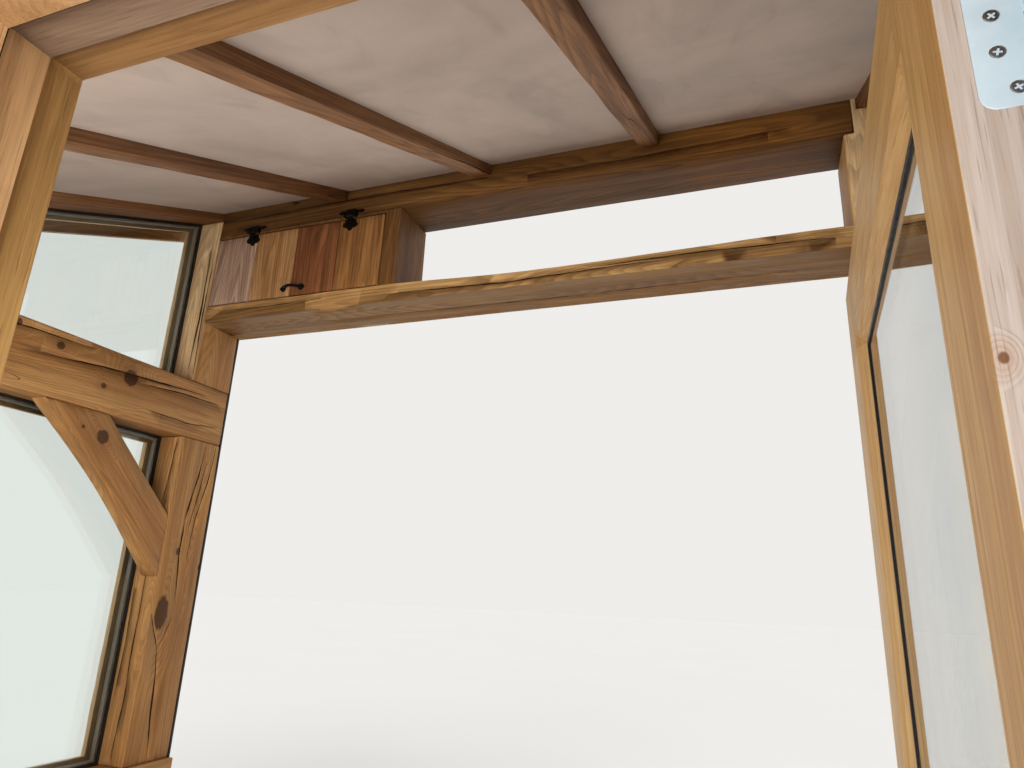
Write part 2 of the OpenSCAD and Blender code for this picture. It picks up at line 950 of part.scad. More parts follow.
dwarf_wall_left();
dwarf_wall_right();
dwarf_wall_front();
sole_plates();
wall_post_left();
wall_post_right();
corner_posts();
upper_studs();
side_beam_left();
side_beam_right();
front_beam();
tie_beam();
shelf_beam();
braces_left();
braces_right();
braces_front();
rafters();
end_rafters();
ceiling();
insulation();
roof_deck();
roof_tiles();
roof_boards();
flashing();
glass_left();
glass_right();
glass_front();
gaskets();
beads();
door_frame();
door_inner_frame();
door_seal();
door_threshold();
door_leaf();
door_glass();
door_gasket();
hinges_frame();
door_hinges();
door_handles();
cupboard_case();
cupboard_flap();
flap_hinge_bars();
flap_hinge_tails();
flap_pull();
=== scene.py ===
import bpy, bmesh, math, random
from mathutils import Vector, Matrix, noise


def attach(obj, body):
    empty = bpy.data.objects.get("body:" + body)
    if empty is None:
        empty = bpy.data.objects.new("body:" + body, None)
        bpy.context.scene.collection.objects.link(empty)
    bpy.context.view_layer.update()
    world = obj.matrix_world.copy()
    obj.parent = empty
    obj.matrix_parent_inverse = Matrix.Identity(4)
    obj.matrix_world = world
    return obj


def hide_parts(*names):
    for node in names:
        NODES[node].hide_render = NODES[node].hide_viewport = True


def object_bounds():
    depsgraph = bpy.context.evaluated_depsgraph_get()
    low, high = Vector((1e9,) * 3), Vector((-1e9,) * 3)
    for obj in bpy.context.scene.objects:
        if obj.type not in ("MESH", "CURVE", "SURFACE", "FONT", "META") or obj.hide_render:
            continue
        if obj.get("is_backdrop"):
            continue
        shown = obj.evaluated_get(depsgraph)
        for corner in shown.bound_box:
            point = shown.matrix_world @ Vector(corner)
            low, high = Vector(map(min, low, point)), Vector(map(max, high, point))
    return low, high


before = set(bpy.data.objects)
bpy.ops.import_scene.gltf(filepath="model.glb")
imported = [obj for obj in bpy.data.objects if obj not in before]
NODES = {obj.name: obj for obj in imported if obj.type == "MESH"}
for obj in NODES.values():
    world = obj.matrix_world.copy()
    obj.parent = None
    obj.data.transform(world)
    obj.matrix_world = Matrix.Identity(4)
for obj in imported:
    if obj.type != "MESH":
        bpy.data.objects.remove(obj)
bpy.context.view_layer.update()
scene = bpy.context.scene

# Places are in metres. x and z are the CAD frame's, and y is measured from the house wall's face
W = 0.9365                      # the house wall's face, y in the CAD frame
X, Y, Z = Vector((1, 0, 0)), Vector((0, 1, 0)), Vector((0, 0, 1))
PITCH = math.radians(24.6)
TAN, COS = math.tan(PITCH), math.cos(PITCH)
SLOPE = Vector((0, math.cos(PITCH), math.sin(PITCH)))
CEILING_AT_WALL = 2.888
HALF = 1.04                     # inner faces of the side posts
POST = 0.18
CORNER_FACE = -1.663            # front faces of the corner posts and the front beam
FRONT_WALL = -1.483             # inner face of the front dwarf wall
SILL = 0.96                     # top of the sole plates
DOOR_POST = 0.031               # x of the doorway's left edge
FOAM = 0.008

# The door leaf when shut, and the hinge that it swings on
LEAF_X0, LEAF_X1, LEAF_Y0, LEAF_Y1, LEAF_Z0, LEAF_Z1 = 0.132, 0.939, -1.589, -1.547, 0.020, 1.998
STILE, BOTTOM_RAIL = 0.124, 0.220
HINGE_X, HINGE_Y, OPEN_ANGLE = 0.9415, -1.541, -92.8
HEAD_UNDERSIDE = 2.0025


def ceil_z(y):
    """Height of the ceiling line at a place measured from the house wall."""
    return CEILING_AT_WALL + TAN * y


def at(x, y, z):
    """A point given from the house wall's face."""
    return Vector((x, y + W, z))


# The camera, where the photo was taken from
EYE = at(0.7828, -1.9172, 1.5002)
YAW, UP, ROLL = 0.3589, 0.2963, -0.0425
SENSOR, FOCAL_PIXELS, PHOTO_WIDTH = 36.0, 684.9, 1024


def spin(angle):
    """A turn about the third axis."""
    c, s = math.cos(angle), math.sin(angle)
    return Matrix(((c, s, 0), (-s, c, 0), (0, 0, 1)))


def make_camera():
    base = Matrix(((1, 0, 0), (0, 0, -1), (0, 1, 0)))
    c, s = math.cos(UP), math.sin(UP)
    tilt = Matrix(((1, 0, 0), (0, c, s), (0, -s, c)))
    rows = spin(ROLL) @ tilt @ base @ spin(YAW)
    data = bpy.data.cameras.new("camera")
    data.sensor_width, data.lens = SENSOR, SENSOR * FOCAL_PIXELS / PHOTO_WIDTH
    data.clip_start, data.clip_end = 0.02, 100
    cam = bpy.data.objects.new("camera", data)
    scene.collection.objects.link(cam)
    axes = Matrix((rows[0], -rows[1], -rows[2])).transposed()
    cam.matrix_world = Matrix.Translation(EYE) @ axes.to_4x4()
    scene.camera = cam


make_camera()


# Shader building
def srgb(r, g, b):
    """A colour as it reads on screen, 0 to 255, in the linear values that shaders take."""
    def lin(c):
        c /= 255
        return c / 12.92 if c <= 0.04045 else ((c + 0.055) / 1.055) ** 2.4
    return (lin(r), lin(g), lin(b), 1)


class Shader:
    """A small helper that builds one procedural material."""

    def __init__(self, name):
        self.mat = bpy.data.materials.new(name)
        self.mat.use_nodes = True
        self.nt = self.mat.node_tree
        self.nt.nodes.clear()
        self.out = self.add("ShaderNodeOutputMaterial")
        self.bsdf = self.add("ShaderNodeBsdfPrincipled")
        self.link(self.bsdf.outputs[0], self.out.inputs[0])
        self.coord = self.add("ShaderNodeTexCoord").outputs["Object"]

    def add(self, kind, **props):
        node = self.nt.nodes.new(kind)
        for k, v in props.items():
            setattr(node, k, v)
        return node

    def link(self, a, b):
        self.nt.links.new(a, b)

    def put(self, socket, value):
        if isinstance(value, bpy.types.NodeSocket):
            self.link(value, socket)
        elif value is not None:
            socket.default_value = value

    def math(self, op, a, b=None, clamp=False):
        n = self.add("ShaderNodeMath", operation=op, use_clamp=clamp)
        self.put(n.inputs[0], a)
        self.put(n.inputs[1], b)
        return n.outputs[0]

    def times(self, a, b):
        return self.math("MULTIPLY", a, b)

    def plus(self, a, b):
        return self.math("ADD", a, b)

    def minus(self, a, b):
        return self.math("SUBTRACT", a, b)

    def vec(self, op, a, b=None):
        n = self.add("ShaderNodeVectorMath", operation=op)
        self.put(n.inputs[0], a)
        self.put(n.inputs[1], b)
        return n.outputs["Value" if op in ("DOT_PRODUCT", "LENGTH") else "Vector"]

    def scaled(self, v, k):
        return self.vec("MULTIPLY", v, k)

    def moved(self, v, k):
        return self.vec("ADD", v, k)

    def join(self, x, y, z):
        n = self.add("ShaderNodeCombineXYZ")
        for i, v in enumerate((x, y, z)):
            self.put(n.inputs[i], v)
        return n.outputs[0]

    def split(self, v):
        n = self.add("ShaderNodeSeparateXYZ")
        self.link(v, n.inputs[0])
        return n.outputs

    def noise(self, v, scale=1.0, detail=2.0, rough=0.5, distort=0.0):
        """Soft noise. A scale of three numbers stretches it."""
        if isinstance(scale, tuple):
            v, scale = self.scaled(v, scale), 1.0
        n = self.add("ShaderNodeTexNoise", noise_dimensions="3D")
        self.put(n.inputs["Vector"], v)
        n.inputs["Scale"].default_value = scale
        n.inputs["Detail"].default_value = detail
        n.inputs["Roughness"].default_value = rough
        n.inputs["Distortion"].default_value = distort
        return n.outputs["Fac"]

    def cells(self, v, scale=1.0):
        n = self.add("ShaderNodeTexVoronoi", feature="F1")
        self.put(n.inputs["Vector"], v)
        n.inputs["Scale"].default_value = scale
        return n.outputs

    def step(self, value, lo, hi, a=0.0, b=1.0):
        """A smooth step from a to b as the value goes from lo to hi."""
        n = self.add("ShaderNodeMapRange", interpolation_type="SMOOTHSTEP", clamp=True)
        self.put(n.inputs["Value"], value)
        for k, v in (("From Min", lo), ("From Max", hi), ("To Min", a), ("To Max", b)):
            self.put(n.inputs[k], v)
        return n.outputs[0]

    def ramp(self, fac, stops):
        n = self.add("ShaderNodeValToRGB")
        el = n.color_ramp.elements
        while len(el) < len(stops):
            el.new(0.5)
        for e, (p, c) in zip(el, stops):
            e.position, e.color = p, c
        self.put(n.inputs[0], fac)
        return n.outputs[0]

    def mix(self, fac, a, b, blend="MIX"):
        n = self.add("ShaderNodeMix", data_type="RGBA", blend_type=blend)
        self.put(n.inputs[0], fac)
        self.put(n.inputs[6], a)
        self.put(n.inputs[7], b)
        return n.outputs[2]

    def wash(self, colour, value, lo, hi, amount, tint):
        """Lays a tint over the colour, stronger as the value goes from lo to hi."""
        return self.mix(self.times(self.step(value, lo, hi), amount), colour, tint)

    def mixv(self, fac, a, b):
        n = self.add("ShaderNodeMix", data_type="VECTOR")
        self.put(n.inputs[0], fac)
        self.put(n.inputs[4], a)
        self.put(n.inputs[5], b)
        return n.outputs[1]

    def attr(self, name, out="Fac"):
        return self.add("ShaderNodeAttribute", attribute_name=name).outputs[out]

    def surface(self, **values):
        for k, v in values.items():
            self.put(self.bsdf.inputs[k.replace("_", " ")], v)

    def bump(self, height, distance, strength=1.0):
        n = self.add("ShaderNodeBump")
        n.inputs["Strength"].default_value = strength
        n.inputs["Distance"].default_value = distance
        self.link(height, n.inputs["Height"])
        self.link(n.outputs[0], self.bsdf.inputs["Normal"])


def sides_of(axis):
    """A direction and two more that are square to it."""
    axis = Vector(axis).normalized()
    a = axis.cross(X if abs(axis.x) < 0.9 else Z).normalized()
    return axis, a, axis.cross(a).normalized()


# Masks: functions that give a shader 1 on one part of a piece and 0 on the rest
def facing(x, y, z, lo=0.3, hi=0.9):
    """Mask of the faces that look this way."""
    def mask(s):
        n = s.add("ShaderNodeTexCoord").outputs["Normal"]
        return s.step(s.vec("DOT_PRODUCT", n, (x, y, z)), lo, hi)
    return mask


def between(axis, lo, hi, soft=0.08, amount=1.0):
    """Mask of the part that lies between two places on an axis, with a soft uneven edge."""
    def mask(s):
        uneven = s.minus(s.noise(s.coord, 9.0, 3.0), 0.5)
        v = s.plus(s.split(s.coord)[axis], s.times(uneven, soft * 2))
        inside = s.times(s.step(v, lo - soft, lo + soft), s.step(v, hi + soft, hi - soft))
        return s.times(inside, amount)
    return mask


def within(*limits):
    """Mask of the part inside sharp limits: each is an axis, a low end and a high end, or None for no end."""
    def mask(s):
        tests = []
        for axis, lo, hi in limits:
            place = s.split(s.coord)[axis]
            if lo is not None:
                tests.append(s.math("GREATER_THAN", place, lo))
            if hi is not None:
                tests.append(s.math("LESS_THAN", place, hi))
        inside = tests[0]
        for test in tests[1:]:
            inside = s.times(inside, test)
        return inside
    return mask


# Oak
def grain_place(s, axis, across, seed):
    """Coordinates that run along the grain, and the tone of each solid where the mesh has one."""
    if axis is None:
        return s.attr("grain", "Vector"), s.attr("tone")

    def along(direction):
        return s.join(*[s.vec("DOT_PRODUCT", s.coord, tuple(k)) for k in sides_of(direction)])

    p = along(axis)
    if across:
        mask, other = across
        p = s.mixv(mask(s), p, s.moved(along(other), (3.1, 5.7, 2.3)))
    return s.moved(p, (seed, seed * 1.7, seed * 0.6)), None


def knots_in(s, p, amount, marks):
    """How much of a knot a place is, and how far the grain swirls there.
    Knots are spread at random, and marks adds some at set places."""
    cell = s.cells(s.scaled(p, (2.6, 5.0, 5.0)))
    chosen = s.step(s.split(cell["Color"])[0], 1.0 - 0.5 * amount, 1.0)
    size = s.plus(s.times(chosen, 0.085), 0.0001)
    knot = s.math("SUBTRACT", 1.0, s.math("DIVIDE", cell["Distance"], size), clamp=True)
    swirl = s.times(s.step(cell["Distance"], 0.45, 0.0), chosen)
    for x, y, z, radius, strength, tall in marks:
        q = s.scaled(s.vec("SUBTRACT", s.coord, (x, y + W, z)), (1.0, 1.0, 1.0 / tall))
        wobble = s.times(s.minus(s.noise(s.coord, 55.0, 2.0), 0.5), radius * 0.5)
        away = s.math("DIVIDE", s.plus(s.vec("LENGTH", q), wobble), radius)
        knot = s.math("MAXIMUM", knot, s.times(s.step(away, 1.15, 0.55), strength))
        swirl = s.math("MAXIMUM", swirl, s.step(away, 4.5, 0.5, 0.0, 0.9))
    return knot, swirl


def drying_splits(s, p, amount):
    """Fine splits that run with the grain."""
    wavy = s.noise(p, (0.75, 15.0, 15.0), 1.5, 0.5)
    near = s.math("ABSOLUTE", s.minus(wavy, 0.5))
    patchy = s.noise(p, (0.8, 2.6, 2.6), 1.0)
    wide = s.step(patchy, 0.62 - 0.16 * amount, 0.80, 0.0, 0.014 * amount)
    split = s.step(s.math("DIVIDE", near, s.plus(wide, 0.00001)), 1.0, 0.35)
    return s.times(split, s.step(wide, 0.0005, 0.002))


def oak(name, light, mid, dark, axis=None, across=None, seed=0.0, rings=62.0, contrast=1.0, knots=0.5,
        splits=0.6, rough=0.58, fibre=1.0, marks=(), sheen=0.3, shades=()):
    """Oak. Grain runs along axis, or along the mesh's own grain attribute.
    across = (mask, axis) turns the grain where the mask is 1. A mark is a knot at a set place:
    x, y, z, radius, strength, height over width. shades = (mask, tint) multiplies the colour where the mask
    is 1:
    painted light and shade on faces by the way that they look, and lighter or darker parts of the wood
    itself."""
    s = Shader(name)
    p, tone = grain_place(s, axis, across, seed)
    knot, swirl = knots_in(s, p, knots, marks)
    # growth rings: contours of a long smooth field, bent round the knots
    field = s.noise(p, (0.42, 5.2, 5.2), 1.6, 0.42)
    ring = s.math("FRACT", s.times(s.plus(field, s.times(swirl, 0.10)), rings))
    ring = s.times(s.step(ring, 0.15, 0.86), s.step(ring, 1.0, 0.9))
    # fibres, pores, broad tone and streaks
    fine = s.noise(p, (9.0, 330.0, 330.0), 2.5, 0.6)
    pore = s.step(s.noise(p, (22.0, 640.0, 640.0), 1.0), 0.60, 0.74)
    broad = s.noise(p, (0.9, 8.0, 8.0), 3.0, 0.55)
    streak = s.noise(p, (1.6, 46.0, 46.0), 2.0, 0.5)
    colour = s.mix(s.step(broad, 0.30, 0.72), mid, light)
    colour = s.wash(colour, streak, 0.35, 0.75, 0.42 * contrast, dark)
    colour = s.mix(s.times(ring, 0.34 * contrast), colour, dark)
    colour = s.wash(colour, fine, 0.42, 0.78, 0.30 * fibre, dark)
    colour = s.wash(colour, fine, 0.52, 0.22, 0.22 * fibre, light)
    colour = s.mix(s.times(pore, 0.40 * fibre), colour, dark)
    if tone is not None:
        towards = s.mix(s.step(tone, -0.01, 0.01), dark, light)
        colour = s.mix(s.times(s.math("ABSOLUTE", tone), 0.5), colour, towards)
    for mask, tint in shades:
        colour = s.mix(mask(s), colour, (*tint, 1), "MULTIPLY")
    # Near black: the knots' own dark colour, and painted shade in the splits
    knot_dark_and_split_shade = (*[c * 0.42 for c in dark[:3]], 1)
    colour = s.mix(s.times(swirl, 0.28), colour, dark)
    colour = s.mix(s.step(knot, 0.0, 0.5, 0.0, 0.92), colour, knot_dark_and_split_shade)
    split = drying_splits(s, p, splits)
    # Painted shade: the splits are darkened to near black, as the shade inside a crack
    colour = s.mix(s.times(split, 0.85), colour, knot_dark_and_split_shade)
    s.surface(Base_Color=colour, Specular_IOR_Level=sheen)
    s.surface(Roughness=s.step(fine, 0.2, 0.8, rough - 0.07, rough + 0.10))
    low = s.minus(s.times(fine, 0.25), split)
    low = s.minus(s.minus(low, s.times(ring, 0.10)), s.times(pore, 0.12))
    s.bump(low, 0.0022, 0.8)
    return s.mat


def palette(light, mid, dark):
    return dict(light=srgb(*light), mid=srgb(*mid), dark=srgb(*dark))


GOLD = palette((205, 158, 98), (170, 119, 66), (104, 64, 32))
BROWN = palette((164, 116, 70), (128, 84, 48), (66, 40, 24))
PLANED = palette((200, 160, 114), (176, 134, 90), (128, 88, 54))
TAN_BROWN = palette((150, 106, 58), (118, 80, 38), (54, 34, 17))
SHELF = palette((238, 194, 130), (214, 166, 104), (112, 72, 40))
PALE = palette((222, 180, 138), (204, 156, 112), (156, 106, 68))

# The knots that the photo shows on the left frame's inner face
KNOTS_LEFT = [(-HALF, *knot) for knot in (
    (-0.421, 2.090, 0.026, 1.0, 1.0), (-0.66, 2.112, 0.012, 0.8, 1.0), (-0.505, 2.040, 0.009, 0.8, 1.0),
    (-0.785, 2.135, 0.011, 0.7, 1.0), (-0.114, 1.587, 0.010, 0.75, 1.2), (-0.138, 1.395, 0.026, 0.8, 2.1),
    (-0.472, 1.893, 0.022, 0.85, 1.0), (-0.540, 1.908, 0.006, 0.9, 1.0))]
# Painted light: faces that look to the front are made lighter, as where daylight fell on them
LIT_FRONT = (facing(0, -1, 0), (1.50, 1.62, 1.80))
# Painted sheen: faces that look to the front are washed pale and cool, as a reflection of the sky
PAINTED_SHEEN_FRONT = (facing(0, -1, 0), (1.9, 2.5, 3.9))
# Painted shade: the tie beam's underside is darkened
TIE_SOFFIT_SHADE = (facing(0, 0, -1), (0.55, 0.52, 0.48))
TIE_RIGHT = (between(0, 0.62, 0.98, 0.09, 0.8), (1.7, 1.6, 1.3))
TIE_LEFT = (between(0, -1.1, -0.45, 0.15), (0.70, 0.68, 0.70))
# Painted shade: the shelf beam's underside is darkened
SHELF_SOFFIT_SHADE = (facing(0, 0, -1), (0.42, 0.38, 0.34))
HEWN_GOLD = oak("oak_hewn_gold", **GOLD, marks=KNOTS_LEFT, knots=0.45, shades=(LIT_FRONT,))
# The upper studs' oak, with a painted sheen on its front faces
HEWN_PAINTED_SHEEN = oak("oak_hewn_painted_sheen", **GOLD, knots=0.3, splits=0.9, shades=(PAINTED_SHEEN_FRONT,))
HEWN_BROWN = oak("oak_hewn_brown", **BROWN, knots=0.85, contrast=1.35, splits=0.9)
HEWN_TIE = oak("oak_hewn_tie", **TAN_BROWN, knots=0.6, contrast=1.2, splits=0.9,
               shades=(TIE_SOFFIT_SHADE, TIE_RIGHT, TIE_LEFT))
HEWN_SHELF = oak("oak_hewn_shelf", **SHELF, knots=0.55, contrast=1.1, splits=0.9, shades=(SHELF_SOFFIT_SHADE,))


# Materials of two close tones
def grained(name, a, b, scale, detail, rough, grit=0.5, metallic=None, bump=None):
    """One fine noise drives the colour, the roughness and the bump."""
    s = Shader(name)
    g = s.noise(s.coord, scale, detail, grit)
    s.surface(Base_Color=s.mix(g, srgb(*a), srgb(*b)), Metallic=metallic)
    s.surface(Roughness=s.step(g, 0.2, 0.8, *rough) if isinstance(rough, tuple) else rough)
    if bump:
        s.bump(g, *bump)
    return s.mat


def plain_metal(name, a, b, rough, metallic=1.0):
    return grained(name, a, b, 60.0, 3.0, (rough - 0.05, rough + 0.07), 0.6, metallic)


# Painted shade: the walls of the cut splits are painted dark brown, as the shade inside a crack
SPLIT_WALL_SHADE = grained("oak_split_shade", (34, 20, 12), (72, 44, 26), (60.0, 60.0, 9.0), 3.0, 0.9, bump=(0.001, 0.6))
RUBBER = grained("gasket_rubber", (18, 18, 19), (38, 38, 40), 180.0, 2.0, (0.42, 0.62), bump=(0.0002, 0.4))
WOOL = grained("insulation", (196, 180, 120), (226, 212, 156), 90.0, 3.0, 0.9, bump=(0.001, 0.5))
IRON = grained("black_iron", (14, 14, 16), (34, 33, 34), 140.0, 3.0, (0.36, 0.55), grit=0.6, metallic=0.6,
               bump=(0.0006, 0.6))
STEEL = grained("stainless", (196, 200, 204), (226, 229, 232), (300.0, 300.0, 14.0), 2.0, (0.22, 0.34),
                metallic=1.0)
SPACER = plain_metal("spacer_bar", (206, 198, 184), (222, 214, 200), 0.5, 0.0)
PLATE = plain_metal("zinc_plate", (188, 212, 226), (214, 232, 242), 0.36, 0.3)
SCREW = plain_metal("screw_steel", (150, 154, 160), (190, 194, 200), 0.3)


# Meshes
def clean_copy(node):
    """The CAD node's mesh with its seams welded and its flat faces whole."""
    bm = bmesh.new()
    bm.from_mesh(NODES[node].data)
    bmesh.ops.remove_doubles(bm, verts=bm.verts, dist=0.00002)
    bmesh.ops.dissolve_limit(bm, angle_limit=math.radians(0.4), verts=bm.verts, edges=bm.edges)
    return bm


def middle(verts):
    return sum((v.co for v in verts), Vector()) / len(verts)


def parts_of(bm):
    """Lists of the vertices of each separate solid, in an order that is the same on each run."""
    seen, out = set(), []
    for start in bm.verts:
        if start in seen:
            continue
        seen.add(start)
        group, todo = [start], [start]
        while todo:
            for e in todo.pop().link_edges:
                for v in e.verts:
                    if v not in seen:
                        seen.add(v)
                        group.append(v)
                        todo.append(v)
        out.append(group)
    return sorted(out, key=lambda g: tuple(round(c, 3) for c in middle(g)))


def slice_along(bm, d, step):
    """Cuts the mesh across a direction at even steps."""
    d = Vector(d).normalized()
    places = [v.co.dot(d) for v in bm.verts]
    lo, hi = min(places), max(places)
    n = max(1, round((hi - lo) / step))
    for i in range(1, n):
        plane = d * (lo + (hi - lo) * i / n)
        geom = bm.verts[:] + bm.edges[:] + bm.faces[:]
        bmesh.ops.bisect_plane(bm, geom=geom, dist=0.0004, plane_co=plane, plane_no=d)


def mesh_object(name, bm, mats, body="porch", nodes=(), smooth=32):
    """Makes the piece, rides it on its body, and puts it in place of the CAD nodes that it stands for."""
    bmesh.ops.recalc_face_normals(bm, faces=bm.faces)
    me = bpy.data.meshes.new(name)
    bm.to_mesh(me)
    bm.free()
    if smooth:
        me.shade_smooth()
        me.set_sharp_from_angle(angle=math.radians(smooth))
    ob = bpy.data.objects.new(name, me)
    scene.collection.objects.link(ob)
    for m in (mats if isinstance(mats, (list, tuple)) else [mats]):
        me.materials.append(m)
    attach(ob, body)
    if nodes:
        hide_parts(*nodes)
    return ob


def cut(ob, cutter_bm):
    """Takes the cutters out of a piece, for good. The cut's own faces get the piece's second material."""
    bmesh.ops.recalc_face_normals(cutter_bm, faces=cutter_bm.faces)
    for f in cutter_bm.faces:
        f.material_index = 1
    me = bpy.data.meshes.new("cutter")
    cutter_bm.to_mesh(me)
    cutter_bm.free()
    for m in ob.data.materials:
        me.materials.append(m)
    tool = bpy.data.objects.new("cutter", me)
    scene.collection.objects.link(tool)
    mod = ob.modifiers.new("cut", "BOOLEAN")
    mod.operation, mod.solver, mod.object, mod.use_self = "DIFFERENCE", "EXACT", tool, True
    dg = bpy.context.evaluated_depsgraph_get()
    new = bpy.data.meshes.new_from_object(ob.evaluated_get(dg))
    ob.modifiers.clear()
    old = ob.data
    ob.data = new
    bpy.data.meshes.remove(old)
    bpy.data.objects.remove(tool)
    new.shade_smooth()
    new.set_sharp_from_angle(angle=math.radians(32))


def set_grain(ob, grain, tone=0.25, seed=0):
    """Writes the grain coordinates and a tone per solid, which the materials read.
    grain is a direction, or a function that gives one for the middle of a solid."""
    me = ob.data
    bm = bmesh.new()
    bm.from_mesh(me)
    bm.verts.ensure_lookup_table()
    places = [None] * len(bm.verts)
    tones = [0.0] * len(bm.verts)
    for k, g in enumerate(parts_of(bm)):
        u, a, b = sides_of(grain(middle(g)) if callable(grain) else grain)
        rnd = random.Random(seed * 31 + k)
        shift = Vector((rnd.uniform(0, 40), rnd.uniform(0, 40), rnd.uniform(0, 40)))
        t = rnd.uniform(-tone, tone)
        for v in g:
            places[v.index] = Vector((v.co.dot(u), v.co.dot(a), v.co.dot(b))) + shift
            tones[v.index] = t
    bm.free()
    flat = [c for v in places for c in v]
    me.attributes.new("grain", "FLOAT_VECTOR", "POINT").data.foreach_set("vector", flat)
    me.attributes.new("tone", "FLOAT", "POINT").data.foreach_set("value", tones)


def lattice(a, b, n, soft):
    """Places along one side of a block: its ends, the edges of its soft arrises and n cells between them."""
    inner = [a + soft + (b - a - 2 * soft) * i / n for i in range(n + 1)]
    return [a] + inner + [b] if soft else inner


def block(bm, lo, hi, n=(1, 1, 1), soft=0.0, wander=0.0, seed=0.0, warp=None, mat=0):
    """A closed block with softened arrises and faces that wander inwards a little."""
    places = [lattice(lo[k], hi[k], n[k], soft) for k in range(3)]
    last = [len(q) - 1 for q in places]
    made = {}

    def vert(i):
        if i not in made:
            p = Vector([places[k][i[k]] for k in range(3)])
            ends = [k for k in range(3) if i[k] in (0, last[k])]
            rounding = soft * (0, 0, 0.30, 0.42)[len(ends)]
            bumps = [noise.noise(p * 16 + Vector((seed, 3.1 * k, 0))) for k in range(3)]
            for k in ends:
                p[k] += (1 if i[k] == 0 else -1) * (rounding + wander * max(0.0, 0.45 + bumps[k]))
            made[i] = bm.verts.new(warp(p) if warp else p)
        return made[i]

    for k in range(3):
        a, b = [j for j in range(3) if j != k]
        for end in (0, last[k]):
            for i in range(last[a]):
                for j in range(last[b]):
                    ring = []
                    for di, dj in ((0, 0), (1, 0), (1, 1), (0, 1)):
                        key = [0, 0, 0]
                        key[k], key[a], key[b] = end, i + di, j + dj
                        ring.append(vert(tuple(key)))
                    bm.faces.new(ring).material_index = mat
    return list(made.values())


def loft(bm, rings, mat=0):
    """A closed solid through rings of points."""
    rows = [[bm.verts.new(p) for p in ring] for ring in rings]
    n = len(rows[0])
    for a, b in zip(rows, rows[1:]):
        for k in range(n):
            bm.faces.new((a[k], a[(k + 1) % n], b[(k + 1) % n], b[k])).material_index = mat
    bm.faces.new(rows[0][::-1]).material_index = mat
    bm.faces.new(rows[-1]).material_index = mat
    return [v for row in rows for v in row]


def circle(centre, r, n, a=X, b=Y):
    """Points round a circle that lies along a and b."""
    turns = [2 * math.pi * j / n for j in range(n)]
    return [centre + (a * math.cos(t) + b * math.sin(t)) * r for t in turns]


def inset(pts, d):
    """A convex outline moved inwards by d. It runs anticlockwise."""
    out = []
    for k in range(len(pts)):
        p0, p1, p2 = Vector(pts[k - 1]), Vector(pts[k]), Vector(pts[(k + 1) % len(pts)])
        a, b = (p1 - p0).normalized(), (p2 - p1).normalized()
        na, nb = Vector((-a.y, a.x)), Vector((-b.y, b.x))
        out.append(p1 + (na + nb) * (d / (1 + na.dot(nb))))
    return out


def tube(bm, path, r, sides=16, ends=0.0):
    """A round bar along a path. ends is the length of its rounded ends."""
    path = [Vector(p) for p in path]
    stations = []
    for i, p in enumerate(path):
        stations.append((p, (path[min(i + 1, len(path) - 1)] - path[max(i - 1, 0)]).normalized()))

    def ring(p, d, k=1.0):
        u, a, b = sides_of(d)
        return circle(p, r * k, sides, a, b)

    caps = (0.3, 0.545, 0.79) if ends else ()
    (p0, d0), (p1, d1) = stations[0], stations[-1]
    rings = [ring(p0 - d0 * ends * math.cos(math.asin(k)), d0, k) for k in caps]
    rings += [ring(p, d) for p, d in stations]
    rings += [ring(p1 + d1 * ends * math.cos(math.asin(k)), d1, k) for k in reversed(caps)]
    return loft(bm, rings)


def screw(bm, centre, out, r, turn=0.3, dome=0.0, mat=0):
    """A cross-head screw: a rim, a face that is dished or domed, and a sunk cross."""
    u, a, b = sides_of(out)
    c = Vector(centre)
    arm, thin, sunk = r * 0.56, r * 0.15, r * 0.30
    cross = []
    for k in range(4):
        t = turn + math.pi / 2 * k
        x, y = a * math.cos(t) + b * math.sin(t), a * -math.sin(t) + b * math.cos(t)
        cross += [x * arm - y * thin, x * arm + y * thin, x * thin + y * thin]

    def around(k, h):
        return [c + u * h + v.normalized() * (r * k) for v in cross]

    top = dome if dome else r * 0.06
    levels = ((1.0, -r * 0.5), (1.0, r * 0.02), (0.93, top * 0.5 + r * 0.02), (0.75, top))
    slot = [[c + u * top + v for v in cross], [c + u * (top - sunk) + v * 0.8 for v in cross]]
    return loft(bm, [around(k, h) for k, h in levels] + slot, mat)


# Hewn timbers
def split_cutter(bm, path, normal, width, seed):
    """A thin wedge that opens a drying split along a path: it swells in the middle and wanders."""
    depth, wiggle, proud, step = 0.03, 0.0022, 0.004, 0.022
    normal = Vector(normal).normalized()
    path = [Vector(p) for p in path]
    runs = [(b - a).length for a, b in zip(path, path[1:])]
    n = max(8, int(sum(runs) / step))
    rings = []
    for i in range(n + 1):
        run = sum(runs) * i / n
        d, k = run, 0
        while k < len(runs) - 1 and d > runs[k]:
            d -= runs[k]
            k += 1
        c = path[k].lerp(path[k + 1], min(1.0, d / runs[k]))
        side = (path[k + 1] - path[k]).cross(normal).normalized()
        swell = math.sin(math.pi * (0.03 + 0.94 * i / n)) ** 0.6
        uneven = 0.75 + 0.6 * noise.noise(Vector((run * 24, seed * 3.3, 1.5)))
        half = max(0.0002, width / 2 * swell * uneven)
        slow, quick = Vector((run * 9, seed * 7.7, 0.2)), Vector((run * 34, seed * 2.1, 4.2))
        c = c + side * (wiggle * noise.noise(slow) + wiggle * 0.5 * noise.noise(quick))
        rim, bottom = c + normal * proud, c - normal * (depth * (0.25 + 0.75 * swell))
        rings.append([rim - side * half * 1.2, rim + side * half * 1.2, bottom + side * half * 0.3])
    loft(bm, rings)


def off_wall(bm):
    """Leaves room for the foam strip behind the timbers that stand against the house wall."""
    for v in bm.verts:
        if v.co.y > W - 0.0001:
            v.co.y = W - FOAM


